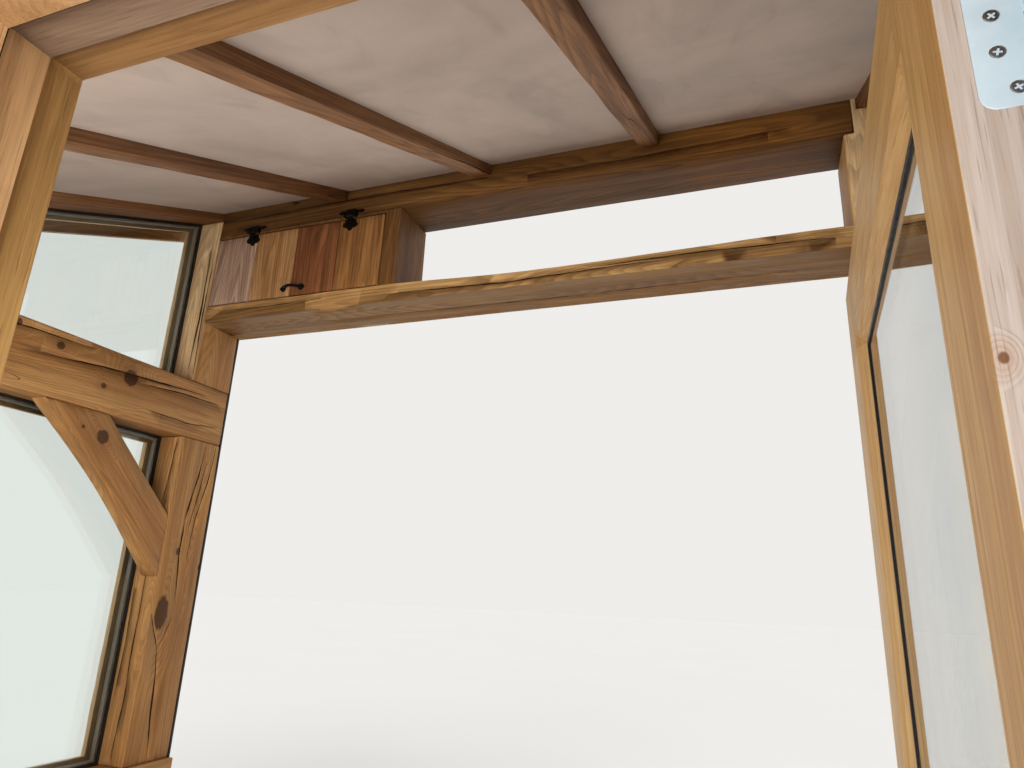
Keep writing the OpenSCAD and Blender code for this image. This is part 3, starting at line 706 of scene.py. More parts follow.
def hewn(node, grain, mat, bevel=0.005, wane=0.004, wave=0.0014, step=0.07, cross=0.05, splits=(), seed=1,
         shrink=None):
    """Dresses a CAD timber: uneven arrises, faces that wander a little, and open drying splits."""
    bm = clean_copy(node)
    if shrink:
        shrink(bm)
    sharp = math.radians(18)
    edges = [e for e in bm.edges if len(e.link_faces) == 2 and e.calc_face_angle(0) > sharp]
    bmesh.ops.bevel(bm, geom=edges, offset=bevel, segments=2, profile=0.6, affect="EDGES", clamp_overlap=True)
    axes = [grain(middle(g)) if callable(grain) else grain for g in parts_of(bm)]
    for axis in sorted({tuple(round(c, 4) for c in a) for a in axes}):
        slice_along(bm, axis, step)
    u, a, b = sides_of(axes[0])
    for d in (a, b):
        slice_along(bm, d, cross)
    bm.normal_update()
    moves = []
    for v in bm.verts:
        p = v.co
        normals = [f.normal for f in v.link_faces]
        spread = min((a.dot(b) for a in normals for b in normals), default=1)
        if spread < 0.9:
            k = 0.5 + 0.9 * noise.noise(Vector((p.x * 3 + seed, p.y * 3, p.z * 3)))
            amount = wane * k + wane * 0.5 * noise.noise(p * 14)
        else:
            amount = wave * (0.5 + noise.noise(p * 5 + Vector((seed, 0, 0))))
        moves.append((v, -v.normal * max(amount, 0.0)))
    for v, d in moves:
        v.co += d
    ob = mesh_object(node + "_hewn", bm, [mat, SPLIT_WALL_SHADE], nodes=(node,))
    if splits:
        tool = bmesh.new()
        for k, (path, normal, width) in enumerate(splits):
            split_cutter(tool, path, normal, width, seed * 10 + k)
        cut(ob, tool)
    set_grain(ob, grain, 0.2, seed)


def brace_grain(mid):
    """The grain of a brace runs from its foot on the post to its head under the beam."""
    if abs(mid.x) > HALF - 0.005:
        rear = mid.y > W - 0.83
        return Vector((0, -0.71 if rear else 0.71, 0.70))
    return Vector((0.71 if mid.x < -0.5 else -0.71, 0, 0.70))


def on_x(x, *pts):
    """Points on a face that is square to x, given as (y, z)."""
    return [at(x, y, z) for y, z in pts]


def on_y(y, *pts):
    """Points on a face that is square to y, given as (x, z)."""
    return [at(x, y, z) for x, z in pts]


# The drying splits, each a path, the way that its face looks, and its width. The left ones are in the photo
SHELF_UNDERSIDE = 2.370
hewn("wall_post_left", Z, HEWN_GOLD, seed=3, shrink=off_wall, splits=(
    (on_x(-HALF, (-0.073, 1.95), (-0.084, 1.831), (-0.108, 1.694), (-0.108, 1.582), (-0.092, 1.442)),
     X, 0.0075),
    (on_x(-HALF, (-0.026, 1.955), (-0.036, 1.839), (-0.065, 1.699), (-0.075, 1.56)), X, 0.005),
    (on_x(-HALF, (-0.055, 1.90), (-0.070, 1.78), (-0.086, 1.66)), X, 0.0045),
    (on_x(-HALF, (-0.176, 1.392), (-0.160, 1.350), (-0.130, 1.288)), X, 0.005),
    (on_x(-HALF, (-0.092, 1.385), (-0.104, 1.345), (-0.124, 1.296)), X, 0.005),
    (on_x(-HALF, (-0.131, 1.292), (-0.116, 1.205), (-0.109, 1.099), (-0.095, 0.975)), X, 0.007),
    (on_y(-POST, (-1.062, 1.955), (-1.070, 1.857), (-1.078, 1.740)), -Y, 0.005),
    (on_y(-POST, (-1.092, 1.60), (-1.088, 1.387), (-1.088, 1.257), (-1.082, 1.138), (-1.094, 0.985)),
     -Y, 0.006),
    (on_y(-POST, (-1.128, 1.50), (-1.120, 1.30), (-1.126, 1.12)), -Y, 0.004)))
hewn("wall_post_right", Z, HEWN_GOLD, seed=4, shrink=off_wall, splits=(
    (on_x(HALF, (-0.07, 1.80), (-0.09, 1.55), (-0.075, 1.30)), -X, 0.006),
    (on_y(-POST, (1.10, 1.85), (1.115, 1.55), (1.105, 1.15)), -Y, 0.006)))
hewn("upper_studs", Z, HEWN_PAINTED_SHEEN, seed=5, shrink=off_wall, splits=(
    (on_y(-POST, (-1.072, 2.66), (-1.064, 2.44), (-1.074, 2.20)), -Y, 0.008),
    (on_y(-POST, (-1.052, 2.60), (-1.055, 2.38), (-1.049, 2.18)), -Y, 0.0065),
    (on_y(-POST, (1.085, 2.62), (1.080, 2.45), (1.088, 2.25)), -Y, 0.005)))
hewn("corner_posts", Z, HEWN_GOLD, seed=6, splits=(
    (on_y(CORNER_FACE, (-1.12, 1.9), (-1.135, 1.6), (-1.125, 1.2)), -Y, 0.006),
    (on_y(CORNER_FACE, (1.13, 1.8), (1.12, 1.5), (1.135, 1.25)), -Y, 0.006),
    (on_x(-HALF - POST, (-1.56, 1.85), (-1.575, 1.5), (-1.56, 1.15)), -X, 0.006)))
hewn("side_beam_left", Y, HEWN_GOLD, seed=7, shrink=off_wall, splits=(
    (on_x(-HALF, (-1.10, 2.112), (-0.80, 2.128), (-0.55, 2.140)), X, 0.005),
    (on_x(-HALF, (-0.72, 2.075), (-0.45, 2.100), (-0.12, 2.120)), X, 0.006),
    (on_x(-HALF, (-0.38, 2.085), (-0.20, 2.100), (-0.05, 2.104)), X, 0.0045),
    (on_x(-HALF, (-0.34, 2.010), (-0.18, 2.006), (-0.04, 2.020)), X, 0.0035)))
hewn("side_beam_right", Y, HEWN_GOLD, seed=8, shrink=off_wall, splits=(
    (on_x(HALF + POST, (-1.2, 2.05), (-0.8, 2.07), (-0.4, 2.06)), X, 0.006),))
hewn("front_beam", X, HEWN_GOLD, seed=9, splits=(
    (on_y(CORNER_FACE, (-0.9, 2.12), (-0.4, 2.13), (0.1, 2.115)), -Y, 0.006),))
hewn("tie_beam", X, HEWN_TIE, seed=10, bevel=0.007, wane=0.006, wave=0.0018, splits=(
    (on_y(-POST, (-0.90, 2.765), (-0.45, 2.772), (0.02, 2.764)), -Y, 0.005),
    (on_y(-POST, (0.15, 2.748), (0.50, 2.742), (0.92, 2.752)), -Y, 0.0045)))
hewn("shelf_beam", X, HEWN_SHELF, seed=11, wane=0.0025, wave=0.0010, splits=(
    (on_y(-POST, (-0.30, 2.396), (0.10, 2.388), (0.55, 2.400)), -Y, 0.005),
    (on_y(-POST, (0.35, 2.404), (0.70, 2.408), (1.02, 2.402)), -Y, 0.004),
    (on_y(-POST, (-0.98, 2.408), (-0.75, 2.404), (-0.56, 2.409)), -Y, 0.0035),
    ([at(x, y, SHELF_UNDERSIDE) for x, y in ((-0.55, -0.085), (0.20, -0.070), (0.90, -0.078))], -Z, 0.006)))
for node, seed in (("braces_left", 12), ("braces_right", 13), ("braces_front", 14)):
    hewn(node, brace_grain, HEWN_GOLD, seed=seed, bevel=0.006, wane=0.003, wave=0.001, cross=0.06, step=0.06)
hewn("rafters", SLOPE, HEWN_BROWN, seed=15, wave=0.002)
hewn("end_rafters", SLOPE, HEWN_BROWN, seed=16)


# Planed joinery and other pieces that keep their CAD mesh
def dress(node, mat, bevel=0.0012):
    """Gives a CAD piece its material and, with bevel, soft arrises."""
    ob = NODES[node]
    ob.data.materials.clear()
    ob.data.materials.append(mat)
    if bevel:
        weld = ob.modifiers.new("weld", "WELD")
        weld.merge_threshold = 0.00002
        mod = ob.modifiers.new("arris", "BEVEL")
        mod.width, mod.segments, mod.limit_method, mod.angle_limit = bevel, 2, "ANGLE", math.radians(30)
        mod.harden_normals = False


def rails(s):
    """1 on the door leaf's rails: between the stiles, over and under the glass."""
    over, under = within((2, LEAF_Z1 - STILE, None)), within((2, None, LEAF_Z0 + BOTTOM_RAIL))
    between_stiles = within((1, HINGE_Y + W + 0.126, HINGE_Y + W + 0.68))
    return s.times(s.math("MAXIMUM", over(s), under(s)), between_stiles(s))


HEAD = within((2, HEAD_UNDERSIDE, None))
LOCK_STILE = within((1, -0.875 + W, None), (2, None, LEAF_Z1 - STILE))
ACROSS_FRONT = within((0, -HALF, 0.5), (1, None, -1.471 + W))
FASCIA = within((1, None, -1.806 + W))
INNER_FRAME = palette((170, 128, 80), (138, 100, 58), (88, 58, 32))
CASE = palette((150, 106, 62), (120, 80, 44), (64, 40, 22))
TINY_KNOT = (0.898, -1.537, 1.621, 0.003, 0.5, 1.3)

# Painted shade: the door frame's head is darkened and cooled
PAINTED_HEAD_SHADE = (HEAD, (0.55, 0.62, 0.90))
# Painted light: the door frame's faces that look along +x are made lighter
JOINERY = oak("oak_joinery", **PLANED, axis=Z, across=(HEAD, X), rings=45, knots=0.12, splits=0.1,
              contrast=0.55, rough=0.45, seed=2.0, shades=(PAINTED_HEAD_SHADE, (facing(1, 0, 0), (1.75, 1.85, 1.95))))
# Painted light: the inner frame's faces that look along +x are made lighter
INNER = oak("oak_inner_frame", **INNER_FRAME, axis=Z, across=(HEAD, X), rings=45, knots=0.15, splits=0.15,
            contrast=0.6, rough=0.5, seed=4.2, shades=((facing(1, 0, 0), (2.1, 2.4, 2.4)),))
THRESHOLD = oak("oak_threshold", **PLANED, axis=X, seed=7.0, knots=0.1, splits=0.1, contrast=0.5)
# Painted light and shade on the open leaf: its face toward -x is darkened, its lock stile is made paler as
# where sun fell, and faces that look to the front are made paler and cooler
LEAF = oak("oak_leaf", **PALE, axis=Z, across=(rails, Y), rings=40, knots=0.1, splits=0.05, contrast=0.7,
           rough=0.45, seed=9.0, marks=(TINY_KNOT,), sheen=0.18, shades=(
               (facing(-1, 0, 0, 0.05, 0.4), (0.78, 0.78, 0.50)), (LOCK_STILE, (1.10, 1.22, 1.60)),
               (facing(0, -1, 0, 0.8, 0.98), (0.74, 1.16, 2.10))))
CUPBOARD = oak("oak_cupboard", **CASE, axis=Z, rings=50, knots=0.2, splits=0.2, fibre=1.5, seed=12.0)
SOLE = oak("oak_plate", **GOLD, axis=Y, across=(ACROSS_FRONT, X), seed=16.0, splits=0.7)
ROOF_BOARDS = oak("oak_boards", **GOLD, axis=SLOPE, across=(FASCIA, X), seed=18.0, splits=0.3, knots=0.3)
dress("door_frame", JOINERY, 0.0015)
dress("door_inner_frame", INNER, 0.0015)
dress("door_threshold", THRESHOLD, 0.003)
dress("door_leaf", LEAF)
dress("cupboard_case", CUPBOARD)
dress("sole_plates", SOLE, 0.004)
dress("roof_boards", ROOF_BOARDS, 0.002)


def plaster():
    """Trowelled plaster: clouds, long sweeps of the trowel and fine grit."""
    s = Shader("plaster")
    p = s.coord
    cloud = s.noise(p, 2.2, 4.0, 0.6, 0.4)
    sweep = s.noise(s.scaled(p, (5.0, 1.6, 2.0)), 1.6, 3.0, 0.55, 1.2)
    fine = s.noise(p, 60.0, 3.0, 0.6)
    colour = s.mix(s.step(cloud, 0.32, 0.70), srgb(170, 154, 143), srgb(192, 174, 161))
    colour = s.wash(colour, sweep, 0.48, 0.74, 0.45, srgb(158, 144, 136))
    colour = s.wash(colour, fine, 0.55, 0.75, 0.10, srgb(140, 126, 118))
    s.surface(Base_Color=colour, Roughness=s.step(sweep, 0.3, 0.8, 0.72, 0.86))
    s.bump(s.plus(s.times(sweep, 0.7), s.times(fine, 0.2)), 0.0016, 0.6)
    return s.mat


def glass():
    s = Shader("glass")
    s.bsdf.inputs["Base Color"].default_value = (0.93, 0.97, 0.955, 1)
    s.bsdf.inputs["Roughness"].default_value = 0.0
    s.bsdf.inputs["IOR"].default_value = 1.5
    s.bsdf.inputs["Transmission Weight"].default_value = 1.0
    s.bump(s.noise(s.coord, 1.6, 1.0), 0.0006, 0.12)
    return s.mat


GLASS = glass()
dress("ceiling", plaster(), 0)
dress("insulation", WOOL, 0)
for node in ("gaskets", "door_seal", "door_gasket"):
    dress(node, RUBBER, 0)
for node in ("flap_hinge_bars", "flap_hinge_tails", "flap_pull"):
    dress(node, IRON, 0.0009)

bm = bmesh.new()
for x0, x1 in ((-HALF - 0.172, -HALF - 0.001), (HALF + 0.001, HALF + 0.172)):
    block(bm, (x0, W - FOAM, SILL), (x1, W, 2.70), (3, 1, 40), 0.001, 0.0006)
mesh_object("foam_strips", bm, RUBBER)


# Sealed units
def corners(x0, x1, z0, z1):
    """The corners of an upright rectangle, anticlockwise."""
    return [(x0, z0), (x1, z0), (x1, z1), (x0, z1)]


def on_left(p, u):
    """A place (y, z) on the left frame, u out from its inner face."""
    return Vector((-HALF - u, p[0] + W, p[1]))


def on_right(p, u):
    return Vector((HALF + u, p[0] + W, p[1]))


def on_front(p, u):
    """A place (x, z) on the front frame, u out from the dwarf wall's inner face and its set-back."""
    return Vector((p[0], FRONT_WALL - 0.018 - u + W, p[1]))


UPPER_Y0, UPPER_Z0, UNDER_CEILING = -1.403, 2.156, 0.0301
LOWER = corners(FRONT_WALL, -POST, SILL, 1.962)
UPPER = [(UPPER_Y0, UPPER_Z0), (-POST, UPPER_Z0), (-POST, ceil_z(-POST) - UNDER_CEILING),
         (UPPER_Y0, ceil_z(UPPER_Y0) - UNDER_CEILING)]
FRONT_LIGHT = corners(-HALF, DOOR_POST, SILL, 2.051)
LIGHTS = ((LOWER, on_left), (LOWER, on_right), (UPPER, on_left), (UPPER, on_right), (FRONT_LIGHT, on_front))
PANE_T = 0.004
PANE_EDGE, SPACER_OUTER, SPACER_INNER = 0.0062, 0.0064, 0.0145      # in from the edge of the light


def sheet(bm, pts, place, u0, u1, grind=0.0008):
    """A flat pane with ground edges."""
    small = inset(pts, grind)
    levels = ((small, u0), (pts, u0 + grind), (pts, u1 - grind), (small, u1))
    loft(bm, [[place(p, u) for p in ring] for ring, u in levels])


def frame_bars(bm, pts, place, profile, mitre=0.0001):
    """Bars along each side of an outline, mitred at its corners. profile is a list of (inset, depth)."""
    for k in range(len(pts)):
        ends = []
        for j in (k, (k + 1) % len(pts)):
            ends.append([place(inset(pts, d)[j], u) for d, u in profile])
        shift = (ends[1][0] - ends[0][0]).normalized() * mitre
        loft(bm, [[p + shift for p in ends[0]], [p - shift for p in ends[1]]])


def unit(node, lights, body="porch", u0=0.100, thick=0.024):
    """A sealed unit for each light: two panes and a spacer between their edges."""
    bm, rim = bmesh.new(), bmesh.new()
    near, far = u0 + PANE_T + 0.0001, u0 + thick - PANE_T - 0.0001
    for pts, place in lights:
        edge = inset(pts, PANE_EDGE)
        sheet(bm, edge, place, u0, u0 + PANE_T)
        sheet(bm, edge, place, u0 + thick - PANE_T, u0 + thick)
        section = [(SPACER_OUTER, near), (SPACER_OUTER, far), (SPACER_INNER, far), (SPACER_INNER, near)]
        frame_bars(rim, pts, place, section)
    mesh_object(node + "_panes", bm, GLASS, body, (node,), smooth=0)
    mesh_object(node + "_spacers", rim, SPACER, body, (node,), smooth=0)


unit("glass_left", [(LOWER, on_left), (UPPER, on_left)])
unit("glass_right", [(LOWER, on_right), (UPPER, on_right)])
unit("glass_front", [(FRONT_LIGHT, on_front)])

# Beads, which hold the panes in from outside
BEAD = oak("oak_bead", **palette((232, 200, 156), (214, 178, 130), (160, 116, 76)), knots=0.0, splits=0.0,
           contrast=0.45)
U = 0.129                       # where the beads start, out from the frame's inner face
BEAD_SHAPE = [(0.0002, U), (0.0256, U), (0.026, U + 0.0004), (0.026, U + 0.012), (0.0245, U + 0.0155),
              (0.013, U + 0.0250), (0.010, U + 0.026), (0.0002, U + 0.026)]


def bead_grain(mid):
    """Along the length of the bead: told from where its middle is."""
    spots = []
    for pts, place in LIGHTS:
        for p, q in zip(pts, pts[1:] + pts[:1]):
            a, b = place(p, U + 0.013), place(q, U + 0.013)
            spots.append((((a + b) / 2 - mid).length, (b - a).normalized()))
    return min(spots, key=lambda spot: spot[0])[1]


bm = bmesh.new()
for pts, place in LIGHTS:
    frame_bars(bm, pts, place, BEAD_SHAPE)
ob = mesh_object("bead_bars", bm, BEAD, nodes=("beads",), smooth=40)
set_grain(ob, bead_grain, 0.25, 5)

# The door's glass, hinges and handles, made with the door shut and then swung open
PIVOT = at(HINGE_X, HINGE_Y, 0)
SWING = Matrix.Rotation(math.radians(OPEN_ANGLE), 4, "Z")
OPEN = Matrix.Translation(PIVOT) @ SWING @ Matrix.Translation(-PIVOT)
PANE = corners(LEAF_X0 + STILE, LEAF_X1 - STILE, LEAF_Z0 + BOTTOM_RAIL, LEAF_Z1 - STILE)


def on_leaf(p, u):
    """A place (x, z) on the leaf, u in from its front face, with the door open."""
    return OPEN @ Vector((p[0], LEAF_Y0 + u + W, p[1]))


def swing_open(verts):
    for v in verts:
        v.co = OPEN @ v.co


unit("door_glass", [(inset(PANE, -0.0162), on_leaf)], "door", 0.014, 0.014)

HINGE_HEIGHTS = (0.220, 1.009, 1.762)
HINGE_LONG, KNUCKLES, PLATE_T = 0.100, 5, 0.0025
KNUCKLE_R, PIN_R, HINGE_SCREW_R = 0.006, 0.0046, 0.0043
FRAME_X = 0.944                 # the frame's face that the hinges are let into
HINGE_SCREWS = ((0.019, 0.012), (0.0127, 0.037), (0.013, 0.062), (0.019, 0.088))


def hinge_plate(bm, x0, x1, z):
    """A plate with two rounded corners and four cross-head screws in countersinks."""
    y0, y1, r, h = LEAF_Y0 + 0.014 + W, LEAF_Y1 + W, 0.010, HINGE_LONG
    arc = [math.radians(a) for a in range(0, 91, 10)]
    ring = [(y1, z)] + [(y0 + r - r * math.sin(a), z + r - r * math.cos(a)) for a in arc]
    ring += [(y0 + r - r * math.cos(a), z + h - r + r * math.sin(a)) for a in arc] + [(y1, z + h)]
    mid = Vector(((y0 + y1) / 2, z + h / 2))
    slim = [tuple(mid + (Vector(p) - mid) * 0.985) for p in ring]
    out = 1 if x1 > x0 else -1
    levels = ((x0, ring), (x1 - 0.0005 * out, ring), (x1, slim))
    verts = loft(bm, [[Vector((x, *p)) for p in outline] for x, outline in levels])
    for k, (dy, dz) in enumerate(HINGE_SCREWS):
        verts += screw(bm, (x1, y0 + dy, z + dz), X * out, HINGE_SCREW_R, 0.4 + 0.9 * k, mat=1)
    return verts


def knuckle(bm, a, b, x0, x1):
    """One knuckle from height a to b, and the tongue that joins it to its plate. Gives the tongue."""
    rim = KNUCKLE_R - 0.0004
    levels = ((rim, a), (KNUCKLE_R, a + 0.0005), (KNUCKLE_R, b - 0.0005), (rim, b))
    loft(bm, [circle(PIVOT + Z * h, r, 32) for r, h in levels])
    return block(bm, (x0, LEAF_Y1 + W - 0.0002, a), (x1, PIVOT.y - 0.0005, b), soft=0.0003)


on_frame, on_door = bmesh.new(), bmesh.new()
for z in HINGE_HEIGHTS:
    hinge_plate(on_frame, FRAME_X + PLATE_T, FRAME_X, z)
    swing_open(hinge_plate(on_door, LEAF_X1 - PLATE_T, LEAF_X1, z))
    for k in range(KNUCKLES):
        a, b = z + HINGE_LONG / KNUCKLES * k, z + HINGE_LONG / KNUCKLES * (k + 1)
        if k % 2:
            swing_open(knuckle(on_door, a + 0.0003, b - 0.0003, LEAF_X1 - PLATE_T, LEAF_X1))
        else:
            knuckle(on_frame, a + 0.00005, b - 0.00005, FRAME_X, FRAME_X + PLATE_T)
    tube(on_frame, [PIVOT + Z * (z + 0.0002), PIVOT + Z * (z + HINGE_LONG - 0.0002)], PIN_R, 24)
METALS = [PLATE, SCREW]
mesh_object("hinge_halves_frame", on_frame, METALS, "porch", ("hinges_frame",), smooth=28)
mesh_object("hinge_halves_leaf", on_door, METALS, "door", ("door_hinges",), smooth=28)

HANDLE_X, HANDLE_Z, LEVER_R, ROSE_SCREW_R = LEAF_X0 + 0.052, 1.070, 0.0088, 0.0024
ROSE = ((0.0250, 0), (0.0250, 0.0055), (0.0243, 0.0072), (0.0225, 0.0080), (0.0115, 0.0080), (0.0100, 0.0095),
        (0.0090, 0.0100))       # radius, distance from the leaf
LEVER = ((0.0, 0.009), (0.0, 0.030), (0.0015, 0.0375), (0.0062, 0.0430), (0.0140, 0.0450), (0.030, 0.0452),
         (0.070, 0.0448), (0.106, 0.0440))
bm = bmesh.new()
for y, d in ((LEAF_Y0 + W, -1), (LEAF_Y1 + W, 1)):
    loft(bm, [circle(Vector((HANDLE_X, y + d * h, HANDLE_Z)), r, 40, X, Z) for r, h in ROSE])
    tube(bm, [(HANDLE_X + a, y + d * b, HANDLE_Z) for a, b in LEVER], LEVER_R, 20, 0.0086)
    for k, dz in enumerate((-0.018, 0.018)):
        screw(bm, (HANDLE_X, y + d * 0.0079, HANDLE_Z + dz), Y * d, ROSE_SCREW_R, 0.2 + k, mat=1)
swing_open(bm.verts)
mesh_object("lever_handles", bm, [STEEL, SCREW], "door", ("door_handles",), smooth=30)

# The cupboard's flap, hung at its top
FLAP_Z0, FLAP_Z1, FLAP_T, BOARD, GAP = 2.435, 2.692, 0.020, 0.172, 0.001
FLAP_HINGES, FLAP_HINGE_Z = (-0.881, -0.477), 2.701
PULL_X, PULL_Z = -0.681, 2.462
# The first board's pale, greyish pink colours are a painted sheen, a reflection of the sky; the other three
# are the boards' own tones
BOARD_TONES_AND_SHEEN = (palette((228, 196, 172), (202, 166, 144), (124, 88, 68)),
               palette((230, 182, 124), (204, 154, 102), (128, 84, 48)),
               palette((186, 124, 80), (154, 96, 60), (84, 48, 28)),
               palette((206, 152, 92), (174, 122, 68), (98, 60, 32)))
BOARDS = [oak("oak_board_%d" % k, **tones, rings=50, knots=0.35, splits=0.3, fibre=1.4, contrast=1.4)
          for k, tones in enumerate(BOARD_TONES_AND_SHEEN)]
bm = bmesh.new()
for k in range(4):
    x0 = -HALF + 0.005 + BOARD * k
    lo = (x0 + (GAP if k else 0), W - POST, FLAP_Z0)
    hi = (x0 + BOARD - (GAP if k < 3 else 0), W - POST + FLAP_T, FLAP_Z1)
    block(bm, lo, hi, (5, 1, 7), 0.0016, 0.0005, k, mat=k)
ob = mesh_object("flap_boards", bm, BOARDS, "flap", ("cupboard_flap",))
set_grain(ob, Z, 0.1, 8)


def iron_screws(name, body, spots):
    """Domed screws on the flap's ironwork. A spot is x, z, the iron's thickness, the radius and the dome."""
    bm = bmesh.new()
    for x, z, proud, r, dome in spots:
        screw(bm, (x, W - POST - proud, z), -Y, r, 0.5, dome)
    mesh_object(name, bm, IRON, body)


def hinge_spots(r, offsets):
    return [(x + dx, FLAP_HINGE_Z + dz, 0.0040, r, 0.0012) for x in FLAP_HINGES for dx, dz in offsets]


pull_spots = [(PULL_X + d * 0.041, PULL_Z, 0.0030, 0.0026, 0.0010) for d in (-1, 1)]
tail_spots = hinge_spots(0.0030, ((-0.018, -0.031), (0.018, -0.031), (0.0, -0.044)))
iron_screws("hinge_bar_screws", "porch", hinge_spots(0.0034, ((-0.036, 0.017), (0.036, 0.017), (0.0, 0.021))))
iron_screws("hinge_tail_screws", "flap", tail_spots + pull_spots)


# Brickwork
def tone_ramp(s, stops):
    """The base colour of each solid, from its own tone."""
    return s.ramp(s.plus(s.times(s.attr("tone"), 0.5), 0.5), [(p, srgb(*c)) for p, c in stops])


def brick_material():
    s = Shader("brick")
    p = s.attr("grain", "Vector")
    cloud = s.noise(p, 9.0, 4.0, 0.6)
    fine = s.noise(p, 130.0, 3.0, 0.65)
    patch = s.noise(s.moved(p, (7, 3, 1)), 16.0, 3.0, 0.6, 0.6)
    colour = tone_ramp(s, ((0.0, (112, 66, 52)), (0.22, (150, 84, 62)), (0.5, (172, 104, 76)),
                           (0.76, (186, 128, 92)), (1.0, (196, 158, 118))))
    colour = s.wash(colour, cloud, 0.38, 0.68, 0.45, srgb(122, 72, 56))
    colour = s.wash(colour, patch, 0.56, 0.72, 0.55, srgb(206, 186, 158))
    colour = s.wash(colour, patch, 0.40, 0.26, 0.50, srgb(78, 54, 46))
    colour = s.wash(colour, fine, 0.55, 0.78, 0.35, srgb(92, 58, 46))
    s.surface(Base_Color=colour, Roughness=s.step(fine, 0.3, 0.7, 0.84, 0.94))
    s.bump(s.plus(s.times(fine, 0.5), s.times(s.cells(p, 70.0)["Distance"], 0.35)), 0.0022, 0.8)
    return s.mat


def mortar_material():
    s = Shader("mortar")
    grit = s.noise(s.coord, 210.0, 3.0, 0.7)
    cloud = s.noise(s.coord, 5.0, 3.0, 0.5)
    colour = s.mix(s.step(cloud, 0.3, 0.7), srgb(168, 160, 146), srgb(190, 182, 166))
    colour = s.wash(colour, grit, 0.5, 0.75, 0.4, srgb(130, 122, 110))
    s.surface(Base_Color=colour, Roughness=0.95)
    s.bump(grit, 0.0018, 0.8)
    return s.mat


BRICK, MORTAR = brick_material(), mortar_material()
HEADER, CLOSER, STRETCHER, JOINT, COURSE, COURSES = 0.1025, 0.04625, 0.215, 0.010, 0.075, 11
BRICKS = {"H": HEADER, "C": CLOSER, "S": STRETCHER}
OUTER = HALF + STRETCHER
FRONT, INNER_Y = FRONT_WALL - STRETCHER + W, FRONT_WALL + W
RECESS = 0.0045                 # of the mortar behind the brick faces


def brick_run(bm, c0, c1, place, z, first, seed):
    """One course from c0 to c1. first names its first bricks, and then stretchers and headers take turns.
    place maps (along, across, z) to the wall, where across goes from the outer face to the inner."""
    rnd = random.Random(seed)
    sign = 1 if c1 > c0 else -1
    total, done, k = abs(c1 - c0), 0.0, 0
    while total - done > 0.02:
        kind = first[k] if k < len(first) else "SH"[(k - len(first)) % 2]
        left = total - done
        size = min(BRICKS[kind], left)
        rest = left - size - JOINT
        if rest <= 0:
            size = left
        elif rest < 0.05:
            size = left - 0.06 if kind == "S" else left
        leaves = [(0.0, STRETCHER)] if kind == "H" else [(0.0, HEADER), (HEADER + JOINT, STRETCHER)]
        a, b = sorted((c0 + sign * done, c0 + sign * (done + size)))
        for lo, hi in leaves:
            jog, tip = rnd.uniform(0.0, 0.0016), rnd.uniform(-0.006, 0.006)

            def warp(p, jog=jog, tip=tip, mid=(a + b) / 2):
                return place(p.x, min(max(p.y, jog), STRETCHER - jog), p.z + tip * (p.x - mid))

            z0, z1 = z + JOINT + 0.0004, z + COURSE - 0.0004
            block(bm, (a, lo, z0), (b, hi, z1), (3, 2, 2), 0.0035, 0.0022, seed + k * 1.7, warp)
        done += size + JOINT
        k += 1


def brickwork(name, runs, cores, nodes, seed):
    """Bricks in courses, each run laid one way on even courses and another on odd, and a core of mortar."""
    bm = bmesh.new()
    for row in range(COURSES):
        for j, pair in enumerate(runs):
            c0, c1, place, first = pair[row % 2]
            brick_run(bm, c0, c1, place, COURSE * row, first, seed + row * 17 + j * 101)
    ob = mesh_object(name, bm, BRICK, nodes=nodes)
    set_grain(ob, X, 1.0, seed)
    bm = bmesh.new()
    for lo, hi in cores:
        n = [max(2, int((hi[k] - lo[k]) / 0.06)) for k in range(3)]
        block(bm, lo, hi, n, 0.002, 0.0014, seed)
    mesh_object(name + "_mortar", bm, MORTAR, nodes=nodes)


def left_wall(a, c, z):
    return Vector((-OUTER + c, a, z))


def right_wall(a, c, z):
    return Vector((OUTER - c, a, z))


def front_wall(a, c, z):
    return Vector((a, FRONT + c, z))


TOP = COURSE * COURSES
left_core = ((-OUTER + RECESS, FRONT + RECESS, 0), (-HALF - RECESS, W - 0.0002, TOP))
front_core = ((-HALF - RECESS, FRONT + RECESS, 0), (DOOR_POST - 0.0002, INNER_Y - RECESS, TOP))
right_core = ((HALF + RECESS, FRONT + RECESS, 0), (OUTER - RECESS, W - 0.0002, TOP))
brickwork("brickwork_left", [
    ((INNER_Y + JOINT, W, left_wall, "HS"), (FRONT, W, left_wall, "HCS")),
    ((-OUTER, DOOR_POST, front_wall, "HCS"), (-HALF + JOINT, DOOR_POST, front_wall, "HS"))],
    [left_core, front_core], ("dwarf_wall_left", "dwarf_wall_front"), 41)
brickwork("brickwork_right", [((FRONT, W, right_wall, "SHS"), (FRONT, W, right_wall, "HCS"))],
          [right_core], ("dwarf_wall_right",), 77)


# Roof
def tile_material():
    s = Shader("clay_tile")
    p = s.attr("grain", "Vector")
    cloud, fine = s.noise(p, 11.0, 4.0, 0.6), s.noise(p, 150.0, 3.0, 0.65)
    lichen = s.cells(s.moved(s.coord, (0.3, 0.1, 0.7)), 17.0)
    colour = tone_ramp(s, ((0.0, (104, 62, 48)), (0.4, (138, 78, 56)), (0.75, (158, 92, 64)),
                           (1.0, (172, 112, 78))))
    colour = s.wash(colour, cloud, 0.42, 0.72, 0.4, srgb(96, 58, 46))
    colour = s.wash(colour, fine, 0.56, 0.78, 0.3, srgb(74, 48, 40))
    spot = s.times(s.step(lichen["Distance"], 0.20, 0.12), s.step(s.noise(s.coord, 3.1, 3.0), 0.52, 0.66))
    colour = s.mix(s.times(spot, 0.6), colour, srgb(164, 160, 128))
    s.surface(Base_Color=colour, Roughness=s.step(fine, 0.3, 0.7, 0.78, 0.92))
    s.bump(fine, 0.0016, 0.7)
    return s.mat


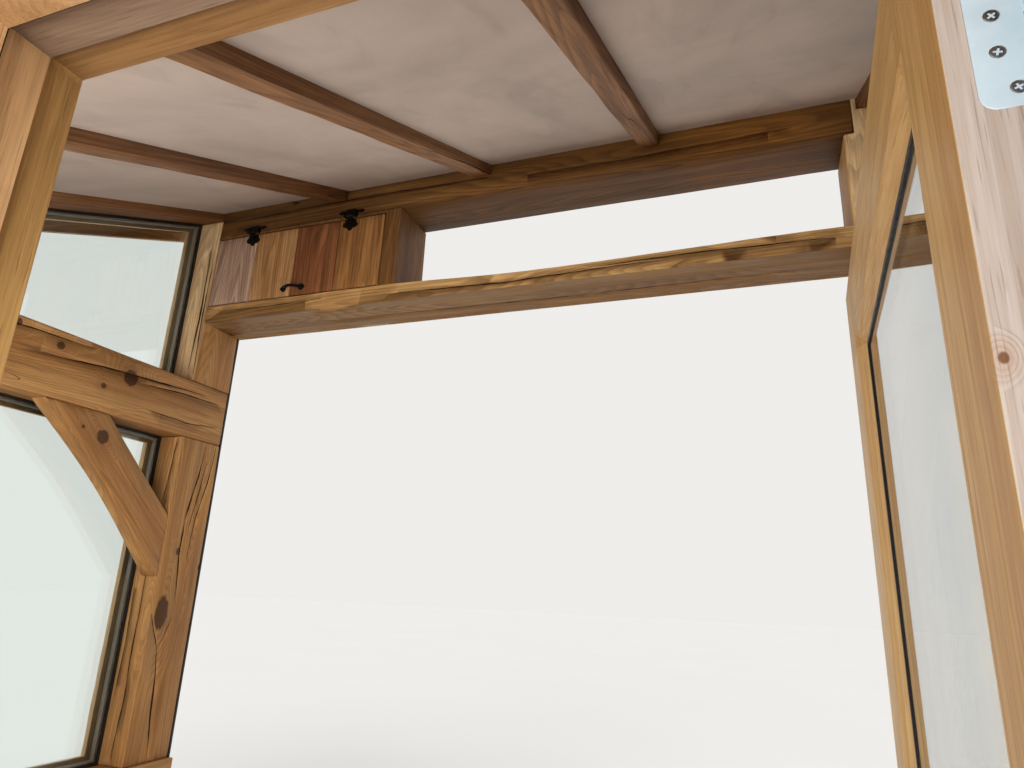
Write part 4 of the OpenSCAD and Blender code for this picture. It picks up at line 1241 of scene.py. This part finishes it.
DECK_TOP = 0.102                # upright over the ceiling line
ROOF_HALF, EAVES = 1.35, -1.873
TILE_ROWS, GAUGE, TILE_LONG, TILE_T = 20, 0.092, 0.205, 0.0118
TILE_WIDE = 2 * ROOF_HALF / 16.5
TILE_TOP = 0.0362               # the tiles' top over the deck


def roof_point(x, y, h):
    """A place on the roof: y from the house wall, h upright over the deck's top."""
    return at(x, y, ceil_z(y) + DECK_TOP + h)


def tile(bm, x0, x1, y0, long, lift, slip, seed):
    """One plain tile, cambered both ways, that lies on the row below."""
    mid = (x0 + x1) / 2

    def warp(p):
        camber = -0.0016 * ((p.x - mid) / 0.082) ** 2
        belly = -0.0022 * (2 * p.y / TILE_LONG - 1) ** 2
        h = 0.0266 - 0.119 * p.y + p.z + camber + belly + lift
        y = y0 + slip + p.y * COS
        return roof_point(p.x, min(y, -0.001), min(max(h, 0.0005), TILE_TOP))

    block(bm, (x0 + 0.0009, 0.0, 0.0), (x1 - 0.0009, long, TILE_T), (3, 3, 1), 0.0022, 0.0008, seed, warp)


bm = bmesh.new()
rnd = random.Random(5)
for i in range(TILE_ROWS):
    y0 = EAVES + GAUGE * i
    reach = min(TILE_LONG * COS, -0.003 - y0)
    edges = [-ROOF_HALF + (0.5 * TILE_WIDE if i % 2 else 0) + TILE_WIDE * k for k in range(17)]
    edges = [-ROOF_HALF] + [e for e in edges if abs(e) < ROOF_HALF - 0.001] + [ROOF_HALF]
    for x0, x1 in zip(edges, edges[1:]):
        lift = rnd.uniform(-0.0008, 0.0)
        rnd.random()            # a draw that nothing uses, so that the next one stays as it is
        tile(bm, x0, x1, y0, reach / COS, lift, rnd.uniform(0.0, 0.0022), i * 3.1 + x0)
ob = mesh_object("plain_tiles", bm, tile_material(), nodes=("roof_tiles",))
set_grain(ob, X, 1.0, 9)

DECK = oak("deck_wood", **palette((214, 184, 140), (196, 160, 112), (150, 110, 70)), knots=0.5, splits=0.1)
DECK_HALF, DECK_Y0, PLANK, PLANKS, DECK_T = 1.305, -1.808, 0.113, 16, 0.022
BATTEN_WIDE, BATTEN_DEEP = 0.0725, 0.034


def in_deck(p):
    """From the deck boards' underside to the roof."""
    return roof_point(p.x, p.y, p.z - DECK_T)


def under_deck(p):
    """From the underside of the boards below the deck to the roof."""
    return roof_point(p.x, p.y, p.z - BATTEN_DEEP)


bm = bmesh.new()
for k in range(PLANKS):
    y0, y1 = DECK_Y0 + PLANK * k, DECK_Y0 + PLANK * (k + 1) - 0.0015
    block(bm, (-DECK_HALF, y0, 0.0005), (DECK_HALF, y1, 0.0215), (12, 1, 1), 0.001, 0.0003, k, in_deck)
for k in range(2):
    y0, y1 = DECK_Y0 + BATTEN_WIDE * k + 0.0008, DECK_Y0 + BATTEN_WIDE * k + 0.0717
    block(bm, (-DECK_HALF, y0, 0.0), (DECK_HALF, y1, TILE_T), (12, 1, 1), 0.0012, 0.0003, k + 30, under_deck)
for x0 in (-DECK_HALF, 1.2204):
    lo, hi = (x0 + 0.0002, CORNER_FACE + 0.0005, 0.0), (x0 + 0.0844, -0.0004, TILE_T)
    block(bm, lo, hi, (1, 14, 1), 0.0012, 0.0003, x0, under_deck)
ob = mesh_object("deck_planks", bm, DECK, nodes=("roof_deck",))
set_grain(ob, lambda mid: SLOPE if abs(mid.x) > 1.2 else X, 0.3, 6)


def lead_material():
    s = Shader("lead")
    cloud = s.noise(s.coord, 6.0, 4.0, 0.6, 0.8)
    run = s.noise(s.coord, (34.0, 5.0, 5.0), 3.0, 0.6)
    fine = s.noise(s.coord, 120.0, 3.0)
    colour = s.mix(s.step(cloud, 0.3, 0.72), srgb(104, 108, 114), srgb(138, 142, 147))
    colour = s.wash(colour, run, 0.52, 0.74, 0.45, srgb(176, 178, 178))
    s.surface(Base_Color=colour, Roughness=s.step(fine, 0.3, 0.7, 0.5, 0.66))
    s.bump(s.plus(cloud, s.times(fine, 0.2)), 0.0025, 0.5)
    return s.mat


def lead_profile(x, top, seed):
    """The upper face of the lead at x: (y, height over the deck), from its lower edge to its top."""
    def ripple(*place):
        return noise.noise(Vector(place))
    edge = abs(0.0022 * ripple(x * 5, seed, 4.4))
    wall = min(0, 0.0010 * ripple(x * 9, seed, 0.3))
    line = [(-0.1498 + edge, top + 0.0002), (-0.1440 + edge, top + 0.0004)]
    for k in range(1, 5):
        line.append((-0.145 + 0.132 * k / 5, top + 0.0006 + 0.0009 * abs(ripple(x * 7, k * 1.3, seed))))
    line += [(-0.0100, top + 0.0012), (-0.0045, top + 0.0050), (-0.0030, top + 0.0110)]
    return line + [(-0.0030 + wall, top + 0.02 + 0.125 * k / 4) for k in range(1, 5)]


def lead_length(bm, x0, x1, up, seed):
    """One length of lead, dressed down over the tiles and bent up the wall."""
    top, thick, steps, bend = TILE_TOP + 0.0024 + up, 0.0022, 46, 7
    rings = []
    for i in range(steps + 1):
        x = x0 + (x1 - x0) * i / steps
        face = []
        for y, h in lead_profile(x, top, seed):
            foot = min(y, -0.003) if h < top + 0.012 else -0.003
            face.append(at(x, y, ceil_z(foot) + DECK_TOP + h))
        down, back = Vector((0, 0.0006, -thick + 0.0002)), Vector((0, 0.0024, 0))
        rings.append(face + [p + (back if j > bend else down) for j, p in enumerate(face)][::-1])
    loft(bm, rings)


bm = bmesh.new()
lead_length(bm, -1.3498, 0.10, 0.0, 1.0)
lead_length(bm, 0.0, 1.3498, 0.0026, 2.0)
mesh_object("lead_flashing", bm, lead_material(), nodes=("flashing",), smooth=40)


# Studio
def world_light():
    """Even light from all sides. The camera, reflections and glass see a pale backdrop instead."""
    world = bpy.data.worlds.new("studio")
    scene.world = world
    world.use_nodes = True
    nt = world.node_tree
    nt.nodes.clear()

    def background(colour, strength):
        node = nt.nodes.new("ShaderNodeBackground")
        node.inputs[0].default_value, node.inputs[1].default_value = colour, strength
        return node.outputs[0]

    def either(a, b):
        node = nt.nodes.new("ShaderNodeMath")
        node.operation = "MAXIMUM"
        nt.links.new(a, node.inputs[0])
        nt.links.new(b, node.inputs[1])
        return node.outputs[0]

    path = nt.nodes.new("ShaderNodeLightPath").outputs
    seen = either(either(path["Is Camera Ray"], path["Is Glossy Ray"]), path["Is Transmission Ray"])
    lit, backdrop = background((1.0, 0.985, 0.965, 1), 0.85), background((0.86, 0.85, 0.83, 1), 1.0)
    mix = nt.nodes.new("ShaderNodeMixShader")
    for socket, source in zip(mix.inputs, (seen, lit, backdrop)):
        nt.links.new(source, socket)
    nt.links.new(mix.outputs[0], nt.nodes.new("ShaderNodeOutputWorld").inputs[0])


def make_floor(half=60):
    me = bpy.data.meshes.new("floor")
    verts = [(-half, -half, 0), (half, -half, 0), (half, half, 0), (-half, half, 0)]
    me.from_pydata(verts, [], [(0, 1, 2, 3)])
    floor = bpy.data.objects.new("floor", me)
    scene.collection.objects.link(floor)
    s = Shader("floor")
    s.surface(Base_Color=s.mix(s.noise(s.coord, 0.4, 1.0), (0.74, 0.74, 0.735, 1), (0.77, 0.77, 0.765, 1)))
    s.surface(Roughness=0.9)
    me.materials.append(s.mat)
    floor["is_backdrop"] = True


def lamp(name, kind, turn, **values):
    """A lamp that the camera, reflections and glass don't show."""
    data = bpy.data.lights.new(name, kind)
    for k, v in values.items():
        setattr(data, k, v)
    ob = bpy.data.objects.new(name, data)
    scene.collection.objects.link(ob)
    ob.rotation_mode = "QUATERNION"
    ob.rotation_quaternion = turn
    ob.visible_camera = ob.visible_glossy = ob.visible_transmission = False
    return ob


def sun(name, towards_light, strength, spread, colour):
    turn = Vector(towards_light).to_track_quat("Z", "Y")
    lamp(name, "SUN", turn, energy=strength, angle=math.radians(spread), color=colour)


def area(name, place, target, size, power, colour):
    turn = (Vector(target) - Vector(place)).to_track_quat("-Z", "Y")
    ob = lamp(name, "AREA", turn, shape="RECTANGLE", size=size[0], size_y=size[1], energy=power, color=colour)
    ob.location = place


world_light()
make_floor()
sun("key", (3.6, -5.6, 3.4), 1.2, 24, (1, 0.97, 0.92))
sun("low_fill", (0.95, -4.5, 0.35), 1.9, 32, (1, 0.98, 0.95))
sun("side_fill", (-4.4, -1.2, 1.8), 0.6, 36, (0.97, 0.98, 1))
area("door_fill", (0.35, -1.90, 1.10), (0.20, 0.8, 2.40), (0.9, 0.9), 24, (1, 0.98, 0.95))
area("inner_fill", (-0.15, -0.12, 1.05), (-0.05, 0.9, 2.7), (1.0, 0.6), 4, (1, 0.98, 0.95))
area("front_fill", (-0.52, -0.47, 1.60), (-0.42, 0.9, 2.0), (0.8, 1.0), 9, (1, 0.98, 0.94))
scene.view_settings.view_transform = "Standard"

lo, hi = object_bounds()
